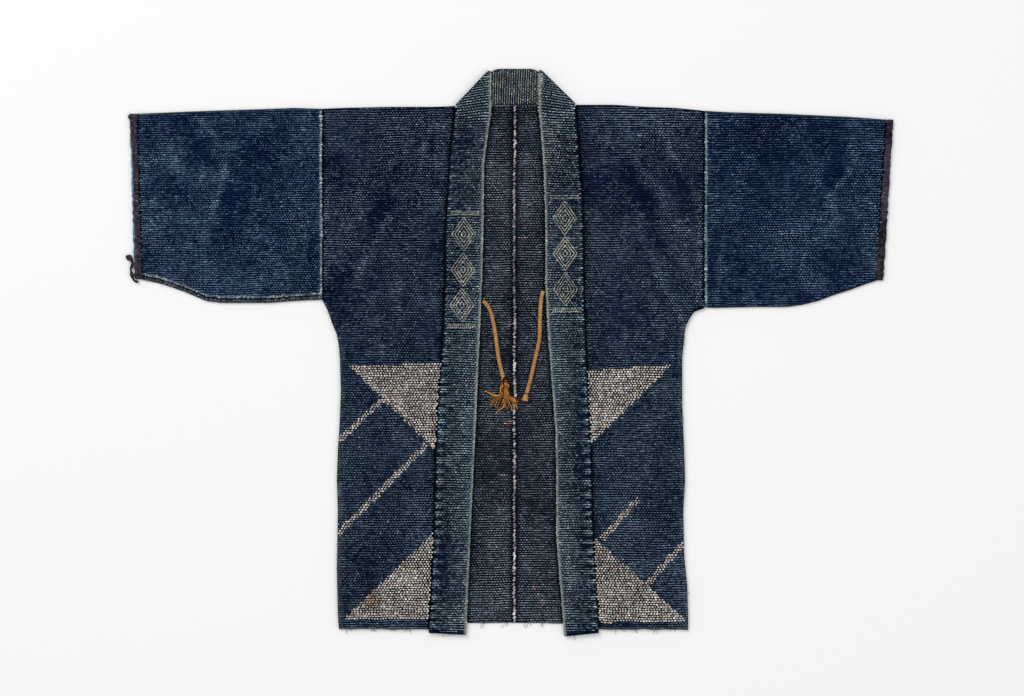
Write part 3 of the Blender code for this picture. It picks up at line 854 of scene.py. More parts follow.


# Colours, and the marks of wear and creases, which also paint light and shade

# Each sleeve and front mark raises or lowers the cloth and shifts the dye by the same share, so raised
# places are paler and sunken ones darker: partly fading, partly painted light and shade on the creases.
SLEEVE_MARKS = creases(
    (-500, 378, -466, 332, 5.0, 0.28), (-450, 342, -480, 226, 8.0, 0.50),
    (-474, 250, -500, 160, 8.0, 0.32), (-476, 334, -438, 338, 5.0, 0.24),
    (-552, 335, -526, 278, 9.0, 0.34), (-492, 160, -486, 100, 9.0, 0.24),
    (-600, 246, -556, 240, 6.0, 0.24), (476, 338, 512, 250, 8.0, 0.32),
    (513, 246, 552, 296, 5.5, 0.52), (548, 290, 566, 334, 7.0, 0.24),
    (519, 256, 527, 186, 8.0, 0.40), (348, 196, 333, 78, 5.5, 0.34),
    (506, 216, 498, 176, 7.0, 0.20),
) + patches(
    (-505, 318, 22, 32, -0.18), (-438, 252, 27, 27, -0.25), (-410, 322, 30, 42, -0.19),
    (-455, 200, 32, 30, -0.15), (-550, 264, 28, 24, -0.18), (-320, 180, 9, 70, -0.21),
    (-350, 190, 40, 30, -0.09), (-515, 128, 22, 14, -0.15), (-565, 320, 34, 24, 0.16),
    (-580, 205, 22, 30, 0.18), (-440, 122, 50, 22, 0.11), (-424, 372, 32, 12, 0.16),
    (525, 292, 16, 34, -0.30), (435, 336, 30, 34, -0.15), (422, 240, 24, 24, -0.13),
    (325, 120, 8, 44, -0.24), (400, 136, 40, 32, -0.12), (518, 362, 24, 14, -0.15),
    (472, 352, 16, 24, 0.20), (485, 112, 24, 16, 0.28), (575, 190, 30, 50, 0.08),
    (-372, 166, 50, 56, -0.13), (-502, 304, 60, 50, 0.07), (462, 240, 100, 90, 0.09),
)
FRONT_MARKS = creases(
    (-160, 352, -250, 148, 17.0, -0.32), (-236, 170, -288, 92, 12.0, -0.27),
    (-152, 352, -204, 286, 6.0, 0.23), (-190, 226, -264, 88, 8.0, 0.27),
    (-276, 312, -236, 366, 9.0, 0.22), (-133, 352, -142, 312, 4.0, 0.36),
    (-124, 356, -128, 318, 3.5, -0.38), (-146, 352, -158, 322, 3.5, -0.26),
    (-150, 150, -142, 44, 10.0, 0.14), (-297, 300, -299, 100, 5.0, 0.27),
    (184, 314, 240, 204, 13.0, -0.39), (216, 236, 290, 86, 14.0, -0.27),
    (262, 322, 303, 206, 14.0, -0.32), (182, 240, 230, 120, 10.0, -0.17),
    (192, 334, 290, 182, 9.0, 0.31), (240, 368, 308, 240, 8.0, 0.29),
    (220, 172, 284, 40, 7.0, 0.34), (206, 116, 246, 66, 7.0, 0.14),
    (154, 388, 162, 340, 6.0, 0.18), (307, 250, 309, 90, 4.5, 0.32),
    (-150, -60, -170, -300, 20.0, 0.14), (-240, -170, -230, -420, 22.0, -0.11),
    (170, -80, 190, -300, 20.0, 0.14), (250, -180, 240, -420, 22.0, -0.11),
) + patches(
    (-275, 288, 18, 22, -0.24), (-200, -220, 100, 140, 0.16), (220, -260, 100, 140, 0.14),
    (-220, 388, 110, 20, 0.14), (210, 386, 110, 20, 0.11),
)
BACK_MARKS = patches(
    (0, -410, 200, 60, 0.22), (40, -300, 60, 60, 0.08), (0, 60, 60, 60, -0.08), (48, -250, 34, 120, -0.12),
)
BAND_STAINS = patches(
    (93, -428, 5, 9, 0.6), (-70, -412, 4, 14, 0.4), (78, 96, 14, 16, 0.25), (64, 320, 9, 50, 0.35),
    (-36, 330, 5, 60, 0.3), (46, 420, 9, 30, 0.4), (-30, 420, 9, 30, 0.4),
)
MENDS = patches(
    (1, -112, 3.6, 3.0, 1.2), (22, 186, 8.0, 2.2, 1.1), (-6, -114, 3.0, 2.4, 1.1),
    (-10, -198, 5.0, 2.0, 0.9), (-3, -172, 4.0, 2.0, 0.7), (20, -330, 3.0, 3.0, 0.8),
    (40, -380, 3.0, 3.0, 1.0), (46, -392, 2.6, 3.0, 1.0), (53, -404, 3.0, 3.0, 1.0),
    (1, 48, 3.0, 5.0, 1.0),
)
RUST = Patch(-222.0, -400.0, 13.0, 19.0, 0.7)

# Deep and worn display colours, wear, drift, spread, flicker, seed and marks
SLEEVE_THREAD = Dye((21, 45, 86), (120, 151, 178), 0.42, 0.24, 0.14, 0.18, 21, SLEEVE_MARKS)
SLEEVE_CLOTH = Dye((5, 16, 44), (28, 48, 76), 0.33, 0.28, 0.08, 0.1, 22, SLEEVE_MARKS)
FRONT_THREAD = Dye((18, 38, 74), (122, 146, 164), 0.39, 0.22, 0.14, 0.18, 31, FRONT_MARKS)
FRONT_CLOTH = Dye((5, 14, 36), (30, 44, 64), 0.32, 0.26, 0.08, 0.1, 32, FRONT_MARKS)
MOTIF_THREAD = Dye((144, 135, 128), (248, 240, 230), 0.54, 0.14, 0.2, 0.1, 41)
MOTIF_OCHRE = Dye((142, 128, 108), (230, 216, 190), 0.5, 0.14, 0.16, 0.1, 42)
BACK_THREAD = Dye((40, 50, 67), (146, 160, 172), 0.42, 0.24, 0.12, 0.18, 51, BACK_MARKS)
BACK_CLOTH = Dye((12, 16, 26), (44, 50, 60), 0.35, 0.28, 0.1, 0.1, 52, BACK_MARKS)
BAND_THREAD = Dye((20, 41, 71), (158, 179, 186), 0.36, 0.17, 0.16, 0.2, 61)
BAND_CLOTH = Dye((6, 16, 38), (44, 60, 76), 0.26, 0.24, 0.08, 0.1, 62)
NECK_THREAD = Dye((84, 90, 92), (166, 168, 158), 0.45, 0.2, 0.16, 0.2, 71)
SEAM_THREAD = Dye((80, 86, 96), (184, 181, 179), 0.5, 0.4, 0.28, 0.2, 72)
LIP_THREAD = Dye((92, 112, 128), (198, 204, 202), 0.45, 0.3, 0.3, 0.25, 73)
OUTLINE_THREAD = Dye((132, 130, 118), (222, 214, 190), 0.55, 0.3, 0.25, 0.2, 74)
EDGE_THREAD = Dye((96, 108, 112), (176, 180, 172), 0.5, 0.3, 0.2, 0.2, 75)
TIE_DYE = Dye((124, 84, 44), (200, 154, 98), 0.5, 0.2, 0.15, 0.1, 81)
TASSEL_DYE = Dye((52, 22, 4), (232, 158, 84), 0.36, 0.1, 0.08, 0.1, 91)
KNOT_DYE = Dye((136, 94, 44), (222, 170, 100), 0.5, 0.2, 0.2, 0.1, 101)
BINDING_CLOTH = Dye((19, 17, 26), (76, 70, 80), 0.4, 0.35, 0.25, 0.2, 38)
CUFF_THREAD = Dye((18, 13, 17), (72, 62, 64), 0.4, 0.3, 0.25, 0.2, 39)
BINDING_THREAD = Dye((21, 17, 24), (94, 86, 94), 0.4, 0.3, 0.3, 0.2, 43)
FRAY_THREAD = Dye((58, 72, 92), (150, 154, 156), 0.5, 0.3, 0.2, 0.1, 48)
WORN_EDGE = np.array(linear(146, 156, 156))
WORN_BLUE = np.array(linear(124, 156, 172))
MOTIF_GROUND = np.array(linear(38, 36, 38))
RUST_BLUE = np.array(linear(96, 70, 54))
RUST_PALE = np.array(linear(150, 108, 70))
STAIN_BROWN = np.array(linear(112, 104, 88))
MEND_PINK = np.array(linear(232, 202, 190))


@dataclass
class Piece:
    """A piece of the coat, its slot and the wardrobe that dresses it."""

    wardrobe: Wardrobe
    name: str
    slot: ClassVar[str] = "indigo_body"

    def dress(self, item: Item) -> Item:
        """Dress the piece itself in its slot's finish."""
        own = {"ochre_cord": self.wardrobe.cord, "dark_binding": self.wardrobe.binding}
        return self.wardrobe.dress(item, own.get(self.slot, self.wardrobe.cloth), self.slot, self.name)

    def stitch(self, batch: str, places: Array, tones: Array, **pad: Array | float | Facing) -> None:
        """Lay a batch of stitches on the piece, in its slot's thread."""
        self.wardrobe.sew(Stitches(f"{self.name}_{batch}", places, tones, **pad), self.slot)

    def stitch_under(self, quilting: Quilting, x: Array, y: Array) -> None:
        """Lay flat stitches on the face that lies on the table."""
        places, tones = join(x, y, quilting.under(x, y)), SLEEVE_THREAD.tones(x, y)
        self.stitch("under_stitches", places, tones, height=0.32, facing=Facing.DOWN)


@dataclass
class BodySide(Piece):
    """Half of the coat's body: one length of cloth, back and front, over the shoulder."""

    hand: Hand
    side: Seam
    sewn: Seam
    shoulder: Seam
    neck_x: float
    motif: tuple[Shape | Bar, ...]
    showing: Seam
    quilting: Quilting = field(default_factory=Quilting)

    def loft(self, x: Array, y: Array) -> Array:
        """How far the front lies above its flat place: a low swell, clouds and creases.

        Args:
            x: Places across.
            y: Places along.

        Returns:
            The lift, none at the edges.
        """
        side, inner = self.side.at(y), self.inner(y)
        share = np.clip((x - side) / (inner - side), 0.0, 1.0)
        way = np.clip((y - FRONT_HEM) / (BODY_TOP - 1.0 - FRONT_HEM), 0.004, 1.0)
        free = np.sqrt(np.clip(np.sin(np.pi * share) * np.sin(np.pi * way), 0.0, 1.0))
        swell = 0.9 + 0.7 * Cloud(7, 85.0).at(x, y) + 0.35 * Cloud(8, 40.0).at(x, y)
        for mark in FRONT_MARKS:
            swell = swell + MARK_RELIEF * mark.at(x, y)
        return np.maximum(swell, 0.0) * free

    def inner(self, y: Array) -> Array:
        """X of the front's sewn edge, meeting the neck at the shoulder."""
        meet = smooth_step((y - BAND_FAN_FROM) / 9.0)
        return self.sewn.at(y) * (1.0 - meet) + self.neck_x * meet

    def front(self, x: Array, y: Array) -> Array:
        """Height of the front's face, with its rows."""
        fade = smooth_step((BODY_TOP - 1.0 - y) / 6.0)
        return FRONT_TOP + self.loft(x, y) + RIDGE_RISE * fade * self.quilting.ridge(x, y)

    def inside(self, x: Array, y: Array) -> Array:
        """Height of the back's inner face."""
        seam = 0.5 * bell(x - CENTRE_SEAM, 2.4)
        return BACK_TOP - 0.1 + 0.4 * self.quilting.ridge(x, y) + seam

    def _grid(self, hem: float, shares: Array, edges: tuple[Edge, Edge]) -> tuple[Array, Array]:
        """X and Y of a panel's points, by line from hem to shoulder.

        Args:
            hem: Y of the lowest line.
            shares: Columns, as shares from the first edge to the second.
            edges: The X of each edge, by Y.

        Returns:
            X and Y, each lines by columns.
        """
        lines = round((BODY_TOP - hem) / ROW_PITCH * LINES_PER_ROW) + 1
        way = np.linspace(0.0, 1.0, lines)[:, None]
        rough = hem + way * (BODY_TOP - hem) + 0.0 * shares[None, :]
        x = edges[0](rough) * (1.0 - shares) + edges[1](rough) * shares
        top = self.shoulder.at(x) - FOLD_RADIUS
        ragged = hem + 0.8 * Cloud(45, 24.0).at(x, 0.0) + 0.5 * Cloud(46, 8.0).at(x, 0.0)
        return x, ragged + way * (top - ragged)

    def build(self) -> Item:
        """Four quilted faces joined round the side, over the shoulder and at the hems.

        Returns:
            The shell.
        """
        inward = -self.hand.value
        wall, hollow = self.side.moved(inward * 0.5), self.side.moved(inward * INNER_SEAM)
        neck = Seam(((0.0, self.neck_x),))
        centre = Seam(((0.0, CENTRE_SEAM + self.hand.value * SEAM_GAP),))
        work = Patchwork()
        x, y = self._grid(FRONT_HEM, np.linspace(0.0, 1.0, 17), (wall.at, self.inner))
        top = work.add(join(x, y, self.front(x, y)))
        x, y = self._grid(FRONT_HEM, np.linspace(0.0, 1.0, 5), (hollow.at, self.inner))
        low = work.add(join(x, y, FRONT_LOW + self.loft(x, y)))
        backs = []
        for edge, height, zones in ((hollow, self.inside, (3, 9)), (wall, self.quilting.under, (8, 5))):
            outer = self._grid(BACK_HEM, np.linspace(0.0, 1.0, zones[0]), (edge.at, neck.at))
            middle = self._grid(BACK_HEM, np.linspace(0.0, 1.0, zones[1])[1:], (neck.at, centre.at))
            x, y = (np.concatenate(both, 1) for both in zip(outer, middle))
            backs.append((work.add(join(x, y, height(x, y))), zones[0] - 1))
        (inside, inside_neck), (under, under_neck) = backs

        walls = []
        for height in (3.9, 1.5):
            last = float(self.shoulder.at(self.side.at(BODY_TOP))) - FOLD_RADIUS
            y = np.linspace(FRONT_HEM + (FRONT_TOP - height) * 2.0, last, 110)
            walls.append(work.line(self.side.at(y), y, height))
        x = np.linspace(float(wall.at(BODY_TOP)), self.neck_x, 26)
        rounds = [top[:, 0], *walls, under[:, 0]]
        overs = [top[-1], *work.folds(x, self.shoulder), under[-1][: under_neck + 1]]
        work.chain(rounds)
        work.chain(overs)
        work.zip(low[:, 0], inside[:, 0])
        work.zip(top[:, -1], low[:, -1])
        work.zip(inside[:, -1], under[:, -1])
        work.zip(top[0], low[0])
        work.zip(inside[0], under[0])
        work.zip([line[0] for line in rounds], [low[0, 0], inside[0, 0]])
        work.zip(low[-1], inside[-1][: inside_neck + 1])
        work.zip([line[-1] for line in rounds], [line[0] for line in overs])
        work.zip([line[-1] for line in overs], [low[-1, -1], inside[-1, inside_neck]])
        work.zip(under[-1][under_neck:], inside[-1][inside_neck:])
        shell = work.build(self.name)
        self._paint(shell)
        return self.dress(shell)

    def _paint(self, shell: Item) -> None:
        """Dye the shell: front, inside and under face, with a pale worn hem, painted shade between the rows
        and beside the band and the sleeve, and painted shadow beside the band's free edge and the centre
        seam.

        Args:
            shell: The shell.
        """
        x, y, z = points_of(shell)
        shade = self.quilting.shade(x, y)
        front = FRONT_CLOTH.tones(x, y) + MOTIF_GROUND * self._in_motif(x, y)[:, None]
        # Painted shade beside the band and the sleeve, and between the rows.
        front = front * (1.0 - 0.95 * self._painted_seam_shade(x, y))[:, None] * shade
        # Painted shadow beside the band's free edge and the centre seam, and painted shade between the
        # rows.
        back = BACK_CLOTH.tones(x, y) * shade * (1.0 - self._painted_shadow(x, y))[:, None]
        under = SLEEVE_CLOTH.tones(x, y) * shade
        tones = np.where((z > 3.0)[:, None], front, np.where((z > 1.4)[:, None], back, under))
        worn = np.exp(-np.clip(y - FRONT_HEM, 0.0, None) / 1.6) * (0.4 + 0.4 * Cloud(9, 14.0).at(x, y))
        side = 0.5 * np.exp(-np.abs(x - self.side.at(y)) / 1.2) * (0.5 + 0.5 * Cloud(10, 20.0).at(x, y))
        worn = np.clip(worn + side * (y < OPEN_SIDE_TO), 0.0, 1.0) * (z > 2.0)
        paint(shell, mix(tones, 0.45 * WORN_EDGE, worn))

    def _painted_seam_shade(self, x: Array, y: Array) -> Array:
        """How much painted shade darkens the front beside the raised band and, above the side, in the seam
        beside the sleeve.

        Args:
            x: Places across.
            y: Places along.

        Returns:
            A share from 0 to 1.
        """
        band = np.abs(x - self.inner(y))
        arm = np.abs(x - self.side.at(y) + 0.8 * ARMHOLE_WANDER.at(0.0, y))
        beside = bell(band, 3.4) + 0.35 * bell(band, 9.0)
        return np.clip(beside + smooth_step((4.4 - arm) / 2.4) * (y > OPEN_SIDE_TO + 4.0), 0.0, 1.0)

    def _painted_shadow(self, x: Array, y: Array) -> Array:
        """How much painted shadow darkens the inside beside the band's free edge and beside the raised
        centre seam.

        Args:
            x: Places across.
            y: Places along.

        Returns:
            A share from 0 to 1.
        """
        beside = bell(np.abs(x - self.showing.at(y) + self.hand.value * 8.0), 4.5)
        seam = 0.8 * bell(np.abs(x - CENTRE_SEAM) - 4.4, 1.9)
        return np.clip(0.9 * beside + seam, 0.0, 0.97)

    def _in_motif(self, x: Array, y: Array) -> Array:
        """Whether places lie in the pale part of the pattern."""
        return np.logical_or.reduce([figure.holds(x, y) for figure in self.motif])

    def _between(self, x: Array, one: Array, two: Array | float, margin: float) -> Array:
        """Whether places lie between two edges, in from both by a margin."""
        return (x > np.minimum(one, two) + margin) & (x < np.maximum(one, two) - margin)

    def sew(self) -> None:
        """Sew the front, its pattern, the inside where it shows, and the outer back."""
        first, last = sorted((float(self.side.at(0.0)) * 1.15, CENTRE_SEAM))
        x, y = self.quilting.places((first, FRONT_HEM), (last, ABOVE_FRONT))
        side, rim = self.side.at(y), self.shoulder.at(x)
        on_front = self._between(x, side, self.inner(y), 0.9)
        on_front &= (y > FRONT_HEM + 1.2) & (y < rim - 2.2)
        motif = on_front & self._in_motif(x, y)
        plain = on_front & ~motif
        self._sew_front(x[plain], y[plain])
        self._sew_motif(x[motif], y[motif])
        shows = self._between(x, self.showing.at(y), CENTRE_SEAM, 0.0)
        shows &= (np.abs(x - CENTRE_SEAM) > 3.8) & (y > BACK_HEM + 1.2)
        shows &= (y < ABOVE_FRONT) & (y < rim - 1.5)
        self._sew_inside(x[shows], y[shows])
        beneath = self._between(x, side, CENTRE_SEAM, 1.8)
        beneath &= (y > BACK_HEM + 2.0) & (y < rim - 3.0)
        self.stitch_under(self.quilting, x[beneath], y[beneath])

    def _sew_front(self, x: Array, y: Array) -> None:
        """Lay plain stitches on the front, worn along its hem and side, stained by rust and darkened by
        painted shade beside the band and the sleeve.

        Args:
            x: Places across.
            y: Places along.
        """
        # Painted shade beside the band and the sleeve.
        tones = FRONT_THREAD.tones(x, y) * (1.0 - 0.92 * self._painted_seam_shade(x, y))[:, None]
        side = bell(np.abs(x - self.side.at(y)), 1.6) * (y < OPEN_SIDE_TO)
        tones = mix(tones, WORN_EDGE, 0.6 * np.maximum(side, bell(y - FRONT_HEM, 2.4)))
        tones = mix(tones, RUST_BLUE, RUST.at(x, y))
        places, seed = join(x, y, self.front(x, y)), int(abs(self.neck_x))
        self.stitch("front_stitches", places, tones, seed=seed)

    def _sew_inside(self, x: Array, y: Array) -> None:
        """Lay stitches on the inside of the back, with its small pink repairs, darkened by painted shadow
        beside the band's free edge and the centre seam.

        Args:
            x: Places across.
            y: Places along.
        """
        # Painted shadow beside the band's free edge and the centre seam.
        tones = BACK_THREAD.tones(x, y) * (1.0 - self._painted_shadow(x, y))[:, None]
        tones = mix(tones, MEND_PINK, np.clip(strongest(MENDS, x, y) * 1.3, 0.0, 1.0))
        places, seed = join(x, y, self.inside(x, y)), int(abs(self.neck_x))
        self.stitch("inside_stitches", places, tones, seed=seed)

    def _sew_motif(self, x: Array, y: Array) -> None:
        """Lay the pale stitches of the pattern, rounder and thicker than the rest.

        Args:
            x: Places across.
            y: Places along.
        """
        rng = np.random.default_rng(44)
        ochre = (rng.random(len(x)) < 0.08 + 0.06 * Cloud(12, 40.0).at(x, y))[:, None]
        tones = np.where(ochre, MOTIF_OCHRE.tones(x, y), MOTIF_THREAD.tones(x, y))
        tones = mix(tones, RUST_PALE, RUST.at(x, y))
        size = dict(length=3.3, width=2.15, height=0.75, uneven=0.14)
        places = join(x, y, self.front(x, y))
        self.stitch("motif", places, tones, **size)


@dataclass
class Sleeve(Piece):
    """A sleeve lying flat: a tube folded along the shoulder and sewn underneath."""

    slot: ClassVar[str] = "indigo_sleeve"
    hand: Hand
    armhole: float
    shoulder: Seam
    underarm: Seam
    cuff: Seam
    quilting: Quilting
    lipped: bool = True

    @property
    def edge(self) -> float:
        """How far in from the underarm the rows start."""
        return LIP_INSET if self.lipped else ROUND_INSET

    def _across(self, offset: Array, y: Array | float) -> Array:
        """X at an offset share from the armhole to the cuff end."""
        end = self.cuff.at(y) - self.hand.value * CUFF_INSET
        return self.armhole + offset * (end - self.armhole)

    def loft(self, x: Array, y: Array) -> Array:
        """How far the upper side lies above its flat place.

        Args:
            x: Places across.
            y: Places along.

        Returns:
            The lift, none at the edges.
        """
        low, high = self.underarm.at(x) + self.edge, self.shoulder.at(x)
        share = np.clip((y - low) / (high - low), 0.0, 1.0)
        away = np.abs(x - self.armhole)
        end = np.clip((self.hand.value * (self.cuff.at(y) - x) - CUFF_INSET) / 30.0, 0.0, 1.0)
        swell = 1.2 + 0.7 * Cloud(14, 80.0).at(x, y) + 0.35 * Cloud(15, 36.0).at(x, y)
        for mark in SLEEVE_MARKS:
            swell = swell + MARK_RELIEF * mark.at(x, y)
        free = np.sqrt(np.sin(np.pi * share)) * smooth_step(away / 25.0) * smooth_step(end)
        ridge = 0.9 * bell(away - ARMHOLE_RIDGE - 0.3, 1.8) - 0.6 * bell(away, 0.8)
        return np.maximum(swell, 0.0) * free + ridge * smooth_step(share * 30.0)

    def upper(self, x: Array, y: Array) -> Array:
        """Height of the upper side: rows, and a sewn lip or a round edge along the underarm.

        Args:
            x: Places across.
            y: Places along.

        Returns:
            The height.
        """
        inset = y - self.underarm.at(x)
        base = np.interp(inset, *np.array(LIP_STOPS if self.lipped else ROUND_STOPS).T)
        rows = smooth_step((inset - self.edge + 1.9) / 2.5)
        rows = rows * smooth_step((self.shoulder.at(x) - 3.0 - y) / 5.0)
        return base + self.loft(x, y) + RIDGE_RISE * rows * self.quilting.ridge(x, y)

    def _grid(self, offsets: Array, ways: Array, start: float) -> tuple[Array, Array]:
        """X and Y by line, from the underarm up to the shoulder's fold.

        Args:
            offsets: Columns, as shares from armhole to cuff end.
            ways: Lines, as shares from the lowest to the highest.
            start: How far in from the underarm the lowest line is.

        Returns:
            X and Y, each lines by columns.
        """
        rough = 90.0 + ways[:, None] * 300.0 + 0.0 * offsets[None, :]
        x = self._across(offsets[None, :], rough)
        low, high = self.underarm.at(x) + start, self.shoulder.at(x) - FOLD_RADIUS
        return x, low + ways[:, None] * (high - low)

    def build(self) -> Item:
        """Two outer faces and two inner ones, joined at the fold, the lip and both ends.

        Returns:
            The shell.
        """
        work = Patchwork()
        width = abs(float(self.cuff.at(250.0)) - self.armhole) - CUFF_INSET
        near = np.array([0.0, 1.2, 2.7, 4.4, 6.6]) / width
        columns = np.concatenate([near, np.linspace(near[-1], 1.0, 41)[1:]])
        lip = np.array(LIP_LINES if self.lipped else ROUND_LINES) / SLEEVE_TALL
        rows = round(SLEEVE_TALL / ROW_PITCH * LINES_PER_ROW)
        ways = np.concatenate([lip, np.linspace(self.edge / SLEEVE_TALL, 1.0, rows)])
        x, y = self._grid(columns, (ways - ways[0]) / (1.0 - ways[0]), 0.4)
        top = work.add(join(x, y, self.upper(x, y)))
        x, y = self._grid(columns[::2], np.linspace(0.0, 1.0, rows), 1.0)
        under = work.add(join(x, y, self.quilting.under(x, y)))
        few = np.linspace(0.0, 1.0, 12)
        x, y = self._grid(few, few, self.edge + 1.0)
        inner_top = work.add(join(x, y, FRONT_LOW + np.maximum(self.loft(x, y), 0.0)))
        inner_low = work.add(join(x, y, BACK_TOP))

        across = np.linspace(0.0, 1.0, 40)
        overs = [top[-1], *work.folds(self._across(across, 390.0), self.shoulder), under[-1]]
        x = self._across(across, 90.0)
        stops = ((0.05, 3.0), (0.0, 2.0), (0.35, 0.9))
        edges = [work.line(x, self.underarm.at(x) + inset, height) for inset, height in stops]
        lips = [top[0], *edges, under[0]]
        for lines in (overs, lips):
            work.chain(lines)
        for end in (-1, 0):
            work.zip(inner_top[end], inner_low[end])
        for end in (0, -1):
            work.zip(top[:, end], inner_top[:, end])
            work.zip(under[:, end], inner_low[:, end])
            for lines, row in ((overs, -1), (lips, 0)):
                work.zip([line[end] for line in lines], [inner_top[row, end], inner_low[row, end]])
        shell = work.build(self.name)
        self._paint(shell)
        return self.dress(shell)

    def _paint(self, shell: Item) -> None:
        """Dye the shell, paler on the armhole ridge and on the underarm lip, with painted shade between the
        rows, in the lip's groove and in the armhole seam.

        Args:
            shell: The shell.
        """
        x, y, z = points_of(shell)
        inset = y - self.underarm.at(x)
        # Painted shade in the groove along the underarm lip, and between the rows.
        hollow = 0.92 * bell(inset - 7.0, 1.1) * (z > 2.0) * self.lipped
        tones = SLEEVE_CLOTH.tones(x, y) * self.quilting.shade(x, y) * (1.0 - hollow)[:, None]
        ridge = 0.8 * self._near_armhole(x, y) * (0.75 + 0.25 * Cloud(16, 12.0).at(x, y))
        lip = bell(inset - 9.6, 1.6) * (0.35 + 0.4 * Cloud(17, 7.0).at(x, y))
        lip = lip + 0.14 * bell(inset - 3.0, 2.4) * (0.6 + 0.9 * Cloud(18, 6.0).at(x, y))
        lip = lip * self.lipped + 0.12 * bell(inset - 1.4, 1.4)
        top = 0.35 * bell(self.shoulder.at(x) - y, 2.2)
        worn = np.clip(ridge + lip + top, 0.0, 1.0) * (z > 2.0)
        # Painted shade in the gap of the armhole seam.
        groove = 0.9 * smooth_step((1.0 - np.abs(x - self.armhole)) / 0.6)[:, None]
        paint(shell, mix(tones, 0.5 * WORN_BLUE, worn) * (1.0 - groove))

    def _near_armhole(self, x: Array, y: Array) -> Array:
        """How near a place is to the middle of the raised seam beside the armhole."""
        away = np.abs(x - self.armhole) + 0.8 * ARMHOLE_WANDER.at(0.0, y)
        return bell(away - ARMHOLE_RIDGE, 1.8)

    def sew(self) -> None:
        """Sew the upper side, the under side, the lip and the armhole."""
        ends = sorted((self.armhole, float(self.cuff.at(375.0)) * 1.01))
        x, y = self.quilting.places((ends[0], 70.0), (ends[1], ABOVE_FRONT))
        away = self.hand.value * (x - self.armhole)
        left = self.hand.value * (self.cuff.at(y) - x)
        here = (away > 1.9) & (left > CUFF_INSET + 1.4) & (y < self.shoulder.at(x) - 2.2)
        inset = y - self.underarm.at(x)
        top = here & (inset > (self.edge if self.lipped else self.edge - 1.0))
        low = here & (inset > 2.4)
        under = x[low], y[low]
        x, y = x[top], y[top]
        tones = mix(SLEEVE_THREAD.tones(x, y), WORN_BLUE, 0.85 * self._near_armhole(x, y))
        places = join(x, y, self.upper(x, y))
        self.stitch("stitches", places, tones)
        self.stitch_under(self.quilting, *under)
        if self.lipped:
            self._sew_lip()
        self._sew_armhole()

    def _sew_armhole(self) -> None:
        """Pale worn row ends, one above another on the raised seam beside the armhole."""
        rng = np.random.default_rng(20)
        low = float(self.underarm.at(self.armhole)) + 8.0
        y = np.arange(low, float(self.shoulder.at(self.armhole)) - 4.0, 0.74 * self.quilting.pitch)
        y = y + 0.5 * rng.normal(size=len(y))
        away = ARMHOLE_RIDGE + 0.1 - 0.8 * ARMHOLE_WANDER.at(0.0, y) + 0.35 * rng.normal(size=len(y))
        x = self.armhole + self.hand.value * away
        self.stitch(
            "armhole_stitches", join(x, y, self.upper(x, y) + 0.1),
            LIP_THREAD.tones(x, y) * np.array([0.62, 0.73, 0.8]),
            turn=0.25 * rng.normal(size=len(y)), length=3.9, width=2.3, height=0.6, uneven=0.25,
        )

    def _sew_lip(self) -> None:
        """Pale worn stitches on the ridge inside the groove, and darker ones along the lip."""
        rng = np.random.default_rng(18)
        end = float(self.cuff.at(120.0)) - self.hand.value * (CUFF_INSET + 3.0)
        reach = abs(end - self.armhole) - 4.0
        lines = []
        for inset, spacing, glow in ((1.7, 4.0, 0.34), (4.2, 4.2, 0.42), (8.9, 3.6, 1.0), (10.6, 4.6, 0.8)):
            x = np.arange(rng.random() * 3.0, reach, spacing)
            x = self.armhole + self.hand.value * (3.0 + x + 0.5 * rng.normal(size=len(x)))
            y = self.underarm.at(x) + inset + 0.25 * rng.normal(size=len(x))
            lines.append(join(x, y, glow))
        x, y, glow = np.concatenate(lines).T
        slope = (self.underarm.at(x + 2.0) - self.underarm.at(x - 2.0)) / 4.0
        glow = glow * (0.75 + 0.35 * Cloud(19, 12.0).at(x, y))
        self.stitch(
            "seam_stitches", join(x, y, self.upper(x, y) + 0.05),
            LIP_THREAD.tones(x, y) * glow[:, None],
            turn=np.arctan(slope), length=3.7, width=1.8, height=0.6, uneven=0.25,
        )


Sections = tuple[Array, Array, Array, Array, Array]


